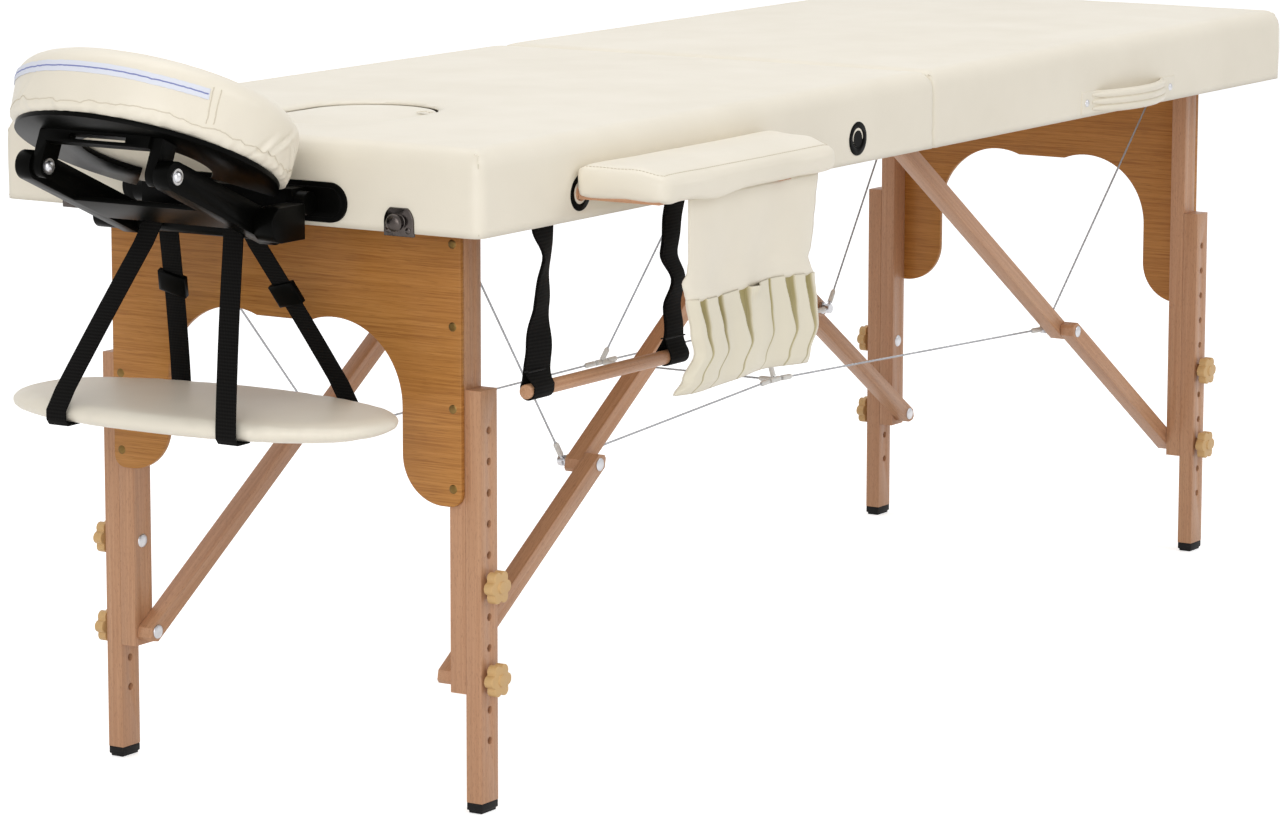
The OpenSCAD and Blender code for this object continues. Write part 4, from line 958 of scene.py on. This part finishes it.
def shelfStrap(end):
    # under the pad, up each side to the rod, and over it
    s = strapShape
    loop, top, lowY, topY = s["loop"], shelfShape["top"], s["lowY"], s["topY"]
    under = shelfLow - s["under"]
    farTuck, nearTuck = s["tuck"]
    runs = []
    for side in (-1, 1):
        run = [(side * (strapEdge - farTuck), lowY, under),
               (side * (strapEdge - nearTuck), lowY, under - s["cornerDrop"]),
               (side * strapEdge, lowY, under + s["cornerLift"]), (side * strapEdge, lowY, top - s["below"])]
        for k in range(1, 10):
            t = k / 10
            bow = s["bow"] * math.sin(math.pi * t)
            run.append((side * (strapEdge + (loop - strapEdge) * t + bow), lowY + (topY - lowY) * t,
                        top + (rodZ - s["below"] - top) * t))
        runs.append(run)
    halfTurn = [math.pi * k / 10 for k in range(11)]
    over = [(loop * math.cos(a), topY, rodZ + loop * math.sin(a)) for a in halfTurn]
    placed = [at(rodX + x, end * y, z) for x, y, z in runs[0] + over[::-1] + runs[1][::-1]]
    ribbon("shelfStrap" + sideName(end), placed, Vector((0, 1, 0)), s["width"] / 1000, s["thickness"],
           "webbing", "arm_shelf", ["shelf_straps"])


def slideBuckle(name, centre, along, across, body):
    # a plastic slide on the webbing, sunk in the middle of both faces
    b = buckleShape
    bm = bmesh.new()
    normal = along.cross(across).normalized()
    turn = Matrix((across, along, normal)).transposed().to_4x4()
    size = Matrix.Diagonal((*b["size"], 1))
    bmesh.ops.create_cube(bm, size=1, matrix=Matrix.Translation(centre) @ turn @ size)
    for face in [f for f in bm.faces if abs(f.normal.dot(normal)) > 0.9]:
        bmesh.ops.inset_region(bm, faces=[face], thickness=b["inset"], depth=-b["sink"], use_even_offset=True)
    bevelEdges(bm, [e for e in bm.edges if e.calc_face_angle(0) > 0.6], b["edge"], 2, clamp=False)
    addPiece(name, bm, "black", body)


def shelfBuckle(end):
    s = strapShape
    low = Vector((strapEdge, end * s["lowY"], shelfShape["top"]))
    high = Vector((s["loop"], end * s["topY"], rodZ - s["below"]))
    spot = low.lerp(high, s["buckleAt"])
    along = (high - low).normalized()
    across = (Vector((0, 1, 0)) - along * along.y).normalized()
    slideBuckle("shelfBuckle" + sideName(end), at(rodX + spot.x, spot.y, spot.z), along, across, "arm_shelf")


for end in (-1, 1):
    shelfStrap(end)
for end in (-1, 1):
    shelfBuckle(end)

# turns in degrees and drifts in mm, each at a share of the strap's drop
rollShape = {"y": -290, "z": 445, "radius": 7.5, "top": 611.5, "web": 0.036, "thickness": 1.6, "steps": 34,
             "apart": 1.1, "ripple": 1.1, "sewn": (19.5, 2.6, 20),
             "straps": {"Head": {"x": -806,
                                 "turns": [(0, 0), (0.2, 24), (0.5, 11), (0.75, -10), (0.9, -12), (1, 0)],
                                 "drifts": [(0, 12), (0.2, 17), (0.5, 7), (0.75, 2), (1, 0)]},
                        "Foot": {"x": -544, "turns": [(0, 0), (0.33, 5), (0.52, 12), (0.7, 5), (1, 0)],
                                 "drifts": [(0, 2), (0.33, -9), (0.52, 8), (0.7, -1), (1, 0)]}}}


def between(stops, t):
    # eases from stop to stop
    for (a, p), (b, q) in zip(stops, stops[1:]):
        if t <= b:
            part = (t - a) / (b - a)
            return p + (q - p) * part * part * (3 - 2 * part)
    return stops[-1][1]


def rollStrap(name, x, turns, drifts):
    # a doubled web that hangs with a twist and loops round the dowel
    s = rollShape
    r = s["radius"] + 1.2
    y0, z0, apart = s["y"], s["z"], s["apart"]
    front, back, across = [], [], []
    for k in range(s["steps"]):
        t = k / (s["steps"] - 1)
        turn = math.radians(between(turns, t))
        gapHalf = apart + (r - apart) * max(0, (t - 0.9) / 0.1) ** 1.4
        middle = Vector((x + between(drifts, t), y0, s["top"] - (s["top"] - z0 - 5) * t))
        outward = Vector((math.sin(turn), -math.cos(turn), 0))
        ripple = s["ripple"] * math.sin(21 * t + x)
        front.append(middle + outward * (gapHalf + ripple))
        back.append(middle - outward * (gapHalf - ripple))
        across.append(Vector((math.cos(turn), math.sin(turn), 0)))
    halfTurn = [math.pi * k / 12 for k in range(13)]
    loop = [Vector((x, y0 - r * math.cos(a), z0 - r * math.sin(a))) for a in halfTurn]
    points = [at(*p) for p in front + loop + back[::-1]]
    sides = across + [Vector((1, 0, 0))] * len(loop) + across[::-1]
    ribbon(name, points, sides, s["web"], s["thickness"], "webbing", "roll_hanger", ["roll_straps"])
    bm = bmesh.new()
    halfRow, out, up = s["sewn"]
    for side in (-1, 1):
        y, z = y0 + side * out, z0 + up
        fitRod(bm, at(x - halfRow, y, z), at(x + halfRow, y, z), 0.0009, sides=8)
    addPiece(name + "Stitch", bm, "rubber", "roll_hanger")


for label, strap in rollShape["straps"].items():
    rollStrap("rollStrap" + label, strap["x"], strap["turns"], strap["drifts"])
print("webbing ready")

# tool pocket; left and right are the drift of its edges in mm down its length
# a slit is its place across the cloth and its size in mm
pocketShape = {"x": -680, "width": 262, "y": -391.3, "top": 634.4, "length": 200, "pleat": 96, "depth": 5.2,
               "left": [(0, 0), (0.3, -2), (0.38, -5), (0.43, -15), (0.52, -8), (0.7, 2), (0.81, 9),
                        (0.93, -14), (1, -32)],
               "right": [(0, 0), (0.14, -6), (0.25, -11), (0.39, -17), (0.44, -21), (0.53, -12),
                         (0.69, -7), (0.8, -4), (0.94, -20), (1, -24)],
               "slits": [(0.1, 12), (0.25, 13), (0.455, 18), (0.655, 4), (0.82, 14), (0.94, 12)],
               "swell": [(0, 0), (0.36, 0), (0.515, 1), (0.54, 0), (1, 0)],
               "cells": (72, 60), "pleatCells": (320, 56), "thickness": 1.2, "pleatThickness": 1.0,
               "stand": 1.2, "pleatStand": 2.5, "slitDeep": 0.44, "flap": 8}


def clothWave(u):
    return 3 * math.sin(2 * math.pi * u + 0.7) + 2 * math.sin(15.7 * u)


def pocketPoint(u, v, out):
    # u across and v down the whole cloth, out in mm towards the near side
    p = pocketShape
    hang = min(1, v * 3)
    right = between(p["right"], v)
    drift = right + (between(p["left"], v) - right) * (1 - u) ** 2.2
    return at(p["x"] + p["width"] * u + drift, p["y"] - hang * clothWave(u) - out,
              p["top"] - p["length"] * v - 2 * hang * math.sin(7 * u))


def clothGrid(cells):
    bm = bmesh.new()
    bmesh.ops.create_grid(bm, x_segments=cells[0], y_segments=cells[1], size=0.5)
    return bm


def pocketSheet():
    p = pocketShape
    bm = clothGrid(p["cells"])
    for v in bm.verts:
        u, w = v.co.x + 0.5, 0.5 - v.co.y
        swell = p["depth"] * between(p["swell"], w) * math.sin(math.pi / 2 * min(1, u * 22, (1 - u) * 22))
        crease = 0.9 * math.exp(-((w - 0.495) / 0.012) ** 2)
        crease += 1.5 * math.exp(-((w - 0.42) / 0.03) ** 2) * max(0, u - 0.7) / 0.3
        v.co = pocketPoint(u, w, p["stand"] + swell - crease)
    piece = addPiece("pocketSheet", bm, "vinyl", "armrest", ["tool_pocket"], sharp=None)
    thicken(piece, p["thickness"] / 1000)
    bakeModifiers(piece)


def slitAt(u, w):
    # how far the strip sinks in mm at a slit, and how deep its shade is
    sink, shade = 0.0, 0.0
    for place, size in pocketShape["slits"]:
        wide = size * max(0.15, 1 - (w / 0.7) ** 1.5) if w < 0.7 else size * 0.15
        near = (u - place) * pocketShape["width"]
        part = 0.0
        if -wide < near <= 0:
            part = min(1, (near + wide) / 2)
        elif 0 < near < 2.4:
            part = 1 - near / 2.4
        sink = max(sink, pocketShape["slitDeep"] * wide * part)
        shade = max(shade, min(1, part * 2.2) * (1 - 0.3 * w))
    return sink, shade


def pocketPleats():
    p = pocketShape
    bm = clothGrid(p["pleatCells"])
    # the fold layer holds painted shade for the slits, which the strip's material darkens by
    fold = bm.verts.layers.float.new("fold")
    for v in bm.verts:
        u, w = v.co.x + 0.5, 0.5 - v.co.y
        sewn = min(1, u * 22, (1 - u) * 22, (1 - w) * 9)
        ease = math.sin(math.pi / 2 * max(0, sewn))
        swell = 1 + 0.2 * math.sin(2 * math.pi * u * 5.3 + 1) * math.sin(math.pi * w)
        sink, shade = slitAt(u, w)
        lips = max(math.exp(-(((u - place) * p["width"] - 2.2) / 1.6) ** 2) for place, size in p["slits"])
        edge = lips * math.sin(math.pi * min(1, w + 0.1))
        flap = p["flap"] * math.exp(-((u - 0.5) / 0.035) ** 2 - (w / 0.14) ** 2)
        out = p["pleatStand"] + max(0, p["depth"] * swell + 1.2 * edge - sink) * ease + flap * (1 - shade)
        v.co = pocketPoint(u, 1 - p["pleat"] / p["length"] * (1 - w), out)
        v[fold] = shade
    piece = addPiece("pocketPleats", bm, "pocketVinylSlitShade", "armrest", sharp=None)
    thicken(piece, p["pleatThickness"] / 1000)
    bakeModifiers(piece)
    return piece


pocketSheet()
pleats = pocketPleats()
print("tool pocket ready")

# carry handle; a roll is its height in mm and its share of the radius
handleShape = {"x": 490, "length": 224, "height": 27, "bulge": 26, "thick": 5, "z": 630, "tab": 28, "steps": 24,
               "rolls": [(-8.2, 0.92), (0, 1.0), (8.2, 0.92)], "rollRadius": 0.005, "coverY": -300,
               "tight": -1.6, "band": 3.4, "rivetPast": 14, "rivetY": -303.6, "rivetSize": (0.0046, 0.0022)}


def buildHandle():
    h = handleShape
    chord, steps = (h["length"] - h["tab"]) / 2, h["steps"]
    radius = (chord ** 2 + h["bulge"] ** 2) / (2 * h["bulge"])
    reach = math.asin(chord / radius)
    path = [Vector((-chord - h["tab"] + 2, h["tight"])), Vector((-chord - 12, -1.8))]
    for k in range(steps + 1):
        a = -reach + 2 * reach * k / steps
        out = radius - h["bulge"] - radius * math.cos(a) + h["thick"] / 2 - 0.4
        path.append(Vector((radius * math.sin(a), out)))
    path += [Vector((chord + 12, -1.8)), Vector((chord + h["tab"] - 2, h["tight"]))]
    points = [at(h["x"] + p.x, h["coverY"] + min(p.y, h["tight"]), h["z"]) for p in path]
    ribbon("handleBand", points, Vector((0, 0, 1)), h["height"] / 1000, h["band"], "vinyl", "foot_half",
           ["carry_handle"])
    rolls = []
    for rise, share in h["rolls"]:
        offset = Vector((0, -0.0012, rise / 1000))
        # each roll tapers where it runs into the tabs
        taper = [share * min(1, 0.35 + min(k, steps - k) / 4) for k in range(steps + 1)]
        rolls.append([(p + offset, part) for p, part in zip(points[2:-2], taper)])
    roll = cordMesh("handleRoll", rolls, h["rollRadius"], rings=3)
    addPiece("handleRoll", roll, "vinyl", "foot_half", sharp=None)
    bm = bmesh.new()
    for side in (-1, 1):
        place = at(h["x"] + side * (chord + h["rivetPast"]), h["rivetY"], h["z"])
        screwHead(bm, place, Vector((0, -1, 0)), *h["rivetSize"], 20)
    addPiece("handleRivets", bm, "nickel", "foot_half")


buildHandle()
print("handle ready")

# cables
kneeX, kneeZ = 554.85, 320.4
cableShape = {"radius": 0.0013, "lay": 0.014, "hollow": 0.72, "kneeY": 158, "railEnd": (850, 189, 662.4),
              "clip": (12, 326), "nearClip": 92, "farClip": 150, "eye": 602}


def twistedCable(bm, start, end):
    # six strands laid round each other, as one screw extrusion
    span = end - start
    steps = max(8, int(span.length / cableShape["lay"] * 8))
    loop = bmesh.ops.create_circle(bm, cap_ends=False, segments=12, radius=cableShape["radius"])["verts"]
    for v in loop[::2]:
        v.co *= cableShape["hollow"]
    edges = list({e for v in loop for e in v.link_edges})
    bmesh.ops.spin(bm, geom=loop + edges, cent=(0, 0, 0), axis=(0, 0, 1), dvec=(0, 0, span.length / steps),
                   angle=2 * math.pi * span.length / cableShape["lay"], steps=steps)
    place = Matrix.Translation(start) @ turnTo(span.normalized())
    for v in bm.verts:
        if not v.tag:
            v.co = place @ v.co
            v.tag = True


def ferrule(bm, place, direction, length=0.016, radius=0.0032):
    tip = place + direction * length
    fitRod(bm, place, tip, radius, sides=14)
    fitRod(bm, tip, place + direction * (length + 0.003), radius, radius * 0.55, 14)


def cablesOfHalf(sign, label):
    # the runs to the end rail get no body and keep their baked place
    # the slack runs to the middle gather at the knee as the table folds
    c = cableShape
    half, upper, node = label + "_half", label + "_upper", label + "_cables"
    runs = {part: {"cable": bmesh.new(), "sleeve": bmesh.new()} for part in ("Rail", "Middle")}
    eyes = bmesh.new()
    railX, railY, railZ = c["railEnd"]
    clipX, clipZ = c["clip"]
    for way, clipY in ((-1, c["nearClip"]), (1, c["farClip"])):
        knee = at(sign * kneeX, way * c["kneeY"], kneeZ)
        anchor = at(sign * railX, way * railY, railZ)
        clip = at(sign * clipX, way * clipY, clipZ)
        for part, target, back in (("Rail", anchor, 0.052), ("Middle", clip, 0.004)):
            direction = (target - knee).normalized()
            made = runs[part]
            twistedCable(made["cable"], knee + direction * 0.006, target)
            ferrule(made["sleeve"], knee + direction * 0.010, direction)
            ferrule(made["sleeve"], target - direction * back, -direction)
            fitRod(eyes, knee + direction * 0.004, knee + direction * 0.012, 0.0022, 0.0026)
    addPiece(label + "CableEyes", eyes, "nickel", upper)
    for part, made in runs.items():
        body = upper if part == "Middle" else None
        pieces = [addPiece(label + part + "Cables", made["cable"], "cable", body, [node]),
                  addPiece(label + part + "Sleeves", made["sleeve"], "sleeve", body)]
        for piece in pieces:
            if part == "Rail":
                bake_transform(piece)
            else:
                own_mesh(piece)


def centreCables():
    c = cableShape
    clipZ = c["clip"][1]
    near, far, eye = at(0, -c["nearClip"], clipZ), at(0, c["farClip"], clipZ), at(0, 0, c["eye"])
    cables, clips = bmesh.new(), bmesh.new()
    for a, b in ((near, far), (near, eye), (far, eye)):
        direction = (b - a).normalized()
        twistedCable(cables, a, b)
        ferrule(clips, a + direction * 0.004, direction, 0.014)
        ferrule(clips, b - direction * 0.004, -direction, 0.014)
    for p in (near, far):
        fitRod(clips, p - Vector((0.0105, 0, 0)), p + Vector((0.0105, 0, 0)), 0.0034)
    addPiece("centreCables", cables, "cable", "center_hinge", ["centre_cables"])
    addPiece("centreClips", clips, "sleeve", "center_hinge")


cablesOfHalf(-1, "head")
cablesOfHalf(1, "foot")
centreCables()
print("cables ready")

# small fasteners: places in mm, radius and rise in metres
screwSet = {"panel": {"x": 847, "y": 214, "z": (593, 508, 423, 340), "size": (0.0048, 0.0009)},
            "bolt": {"x": 825, "z": (141, 238.5), "y": (185.8, 205.2), "size": (0.0078, 0.0022)},
            "post": {"x": 825, "apart": 9, "y": 205, "z": 610, "size": (0.0032, 0.0016)},
            "knee": {"y": 205.2, "size": (0.0072, 0.0014)},
            "catch": {"x": 929.2, "y": 205, "apart": 12, "z": 616, "size": (0.0034, 0.0016)},
            "button": {"x": 937, "z": 624, "size": (0.0095, 0.0045)},
            "hinge": {"y": (-200, 0, 200), "z": 613, "size": (0.003, 0.0002),
                      "spots": ((12, -27), (20, -10), (20, 10), (12, 27))}}
# the foot half's catches stand higher, so that the two halves close
catchRise = {"head": 0, "foot": 7.3}


def panelScrews(label, sign):
    s = screwSet["panel"]
    bm = bmesh.new()
    for side in (-1, 1):
        for z in s["z"]:
            screwHead(bm, at(sign * s["x"], side * s["y"], z), Vector((sign, 0, 0)), *s["size"])
    addPiece(label + "PanelScrews", bm, "brass", label + "_leg")


def legScrews(label, sign):
    bolt, post, knee = screwSet["bolt"], screwSet["post"], screwSet["knee"]
    domes, screws, knees = bmesh.new(), bmesh.new(), bmesh.new()
    for side in (-1, 1):
        inner = Vector((0, -side, 0))
        for y, z in zip(bolt["y"], bolt["z"]):
            screwHead(domes, at(sign * bolt["x"], side * y, z), inner, *bolt["size"], 20)
        for way in (-1, 1):
            place = at(sign * post["x"] + way * post["apart"], side * post["y"], post["z"])
            screwHead(screws, place, inner, *post["size"])
        screwHead(knees, at(sign * kneeX, side * knee["y"], kneeZ), -inner, *knee["size"], 20)
    addPiece(label + "BoltDomes", domes, "nickel", label + "_leg")
    addPiece(label + "PostScrews", screws, "nickel", label + "_leg")
    addPiece(label + "KneeDomes", knees, "nickel", label + "_lower")


def catchScrews(label, sign):
    small, button, rise = screwSet["catch"], screwSet["button"], catchRise[label]
    out = Vector((sign, 0, 0))
    bm = bmesh.new()
    for side in (-1, 1):
        for way in (-1, 1):
            place = at(sign * small["x"], side * small["y"] + way * small["apart"], small["z"] + rise)
            screwHead(bm, place, out, *small["size"])
        screwHead(bm, at(sign * button["x"], side * small["y"], button["z"] + rise), out, *button["size"], 20)
    addPiece(label + "CatchScrews", bm, "chrome", label + "_half")


def hingeScrews(label, sign):
    s = screwSet["hinge"]
    bm = bmesh.new()
    for y in s["y"]:
        for out, along in s["spots"]:
            screwHead(bm, at(sign * out, y + along, s["z"]), Vector((0, 0, -1)), *s["size"])
    addPiece(label + "HingeScrews", bm, "nickel", label + "_half")


for label, sign in (("head", -1), ("foot", 1)):
    panelScrews(label, sign)
for label, sign in (("head", -1), ("foot", 1)):
    legScrews(label, sign)
    catchScrews(label, sign)
    hingeScrews(label, sign)

# the dark throats of the grommets that hold no peg, as closed black rods: the grommets' own black wall, and
# painted shade in place of the open, shaded hole
throatShadeShape = {"places": ((-175, -1), (-175, 1), (-500, 1), (-744, 1)), "y": (300.6, 302.6), "z": 641,
               "radius": 0.0092}
throatsAndShade = bmesh.new()
for x, side in throatShadeShape["places"]:
    inner, outer = (at(x, side * y, throatShadeShape["z"]) for y in throatShadeShape["y"])
    fitRod(throatsAndShade, inner, outer, throatShadeShape["radius"], sides=24)
addPiece("grommetThroatsAndShade", throatsAndShade, "black", "head_half")

# washers with a domed head on the cradle's pivot
pivotShape = {"washer": (1.6, 0.0082), "head": (0.0058, 0.0036),
              "faces": {"armBolts": ("arms", ((-95, -1), (95, 1))),
                        "earBolts": ("face_rest", ((-64.7, 1), (64.7, -1)))}}
for name, (body, faces) in pivotShape["faces"].items():
    bm = bmesh.new()
    thick, radius = pivotShape["washer"]
    for y, way in faces:
        top = at(tipX, y + way * thick, tipZ)
        fitRod(bm, at(tipX, y, tipZ), top, radius, sides=24)
        screwHead(bm, top, Vector((0, way, 0)), *pivotShape["head"], 24)
    addPiece(name, bm, "nickel", body)
print("fasteners ready")

# floor and light
stageSet = {"floor": (0.86, 0.86, 0.86, 1), "glow": 0.62, "ambient": 0.56, "half": 24, "drop": 0.0005,
            "lamps": {"keyLamp": ((1.2, -3.6, 3.2), (0.1, 0, 0.5), 2.2, 39),
                      "topLamp": ((0.2, 0.6, 3.8), (0.1, 0, 0.6), 2.6, 36),
                      "endLamp": ((-4.0, -1.2, 1.8), (-0.6, 0, 0.5), 2.0, 35),
                      "fillLamp": ((-3.2, -1.9, 0.9), (-0.9, 0, 0.40), 1.4, 10)}}


def seenRays(tree):
    # 1 for what the camera or a reflection sees
    path = addNode(tree, "ShaderNodeLightPath")
    seen = addNode(tree, "ShaderNodeMath", operation="MAXIMUM")
    tree.links.new(path.outputs["Is Camera Ray"], seen.inputs[0])
    tree.links.new(path.outputs["Is Glossy Ray"], seen.inputs[1])
    return seen.outputs[0]


def addFloor():
    bm = bmesh.new()
    bmesh.ops.create_grid(bm, x_segments=1, y_segments=1, size=stageSet["half"])
    floor = linked("floor", meshOf("floor", bm))
    floor.location.z = -stageSet["drop"]
    material, tree, surface = newMaterial("paleFloor", {"Base Color": stageSet["floor"], "Roughness": 0.9,
                                                        "Specular IOR Level": 0.1})
    level = addNode(tree, "ShaderNodeMath", operation="MULTIPLY")
    tree.links.new(seenRays(tree), level.inputs[0])
    level.inputs[1].default_value = stageSet["glow"]
    glow = addNode(tree, "ShaderNodeEmission", {"Strength": level.outputs[0]})
    joined = addNode(tree, "ShaderNodeAddShader")
    tree.links.new(surface.outputs[0], joined.inputs[0])
    tree.links.new(glow.outputs[0], joined.inputs[1])
    tree.links.new(joined.outputs[0], tree.nodes["Material Output"].inputs["Surface"])
    floor.data.materials.append(material)


def addWorld():
    world = bpy.data.worlds.new("studio")
    bpy.context.scene.world = world
    world.use_nodes = True
    tree = world.node_tree
    ground = tree.nodes["Background"]
    level = addNode(tree, "ShaderNodeMapRange", {"Value": seenRays(tree)})
    level.inputs["To Min"].default_value = stageSet["ambient"]
    level.inputs["To Max"].default_value = 1.0
    ground.inputs["Color"].default_value = grey(1)
    tree.links.new(level.outputs["Result"], ground.inputs["Strength"])


def addLamp(name, place, target, size, power):
    lamp = bpy.data.lights.new(name, "AREA")
    lamp.shape = "SQUARE"
    lamp.size = size
    lamp.energy = power
    holder = linked(name, lamp)
    holder.location = place
    holder.rotation_euler = (Vector(target) - Vector(place)).to_track_quat("-Z", "Y").to_euler()


addFloor()
addWorld()
for name, lamp in stageSet["lamps"].items():
    addLamp(name, *lamp)
bpy.context.scene.view_settings.view_transform = "Standard"
print("stage ready")
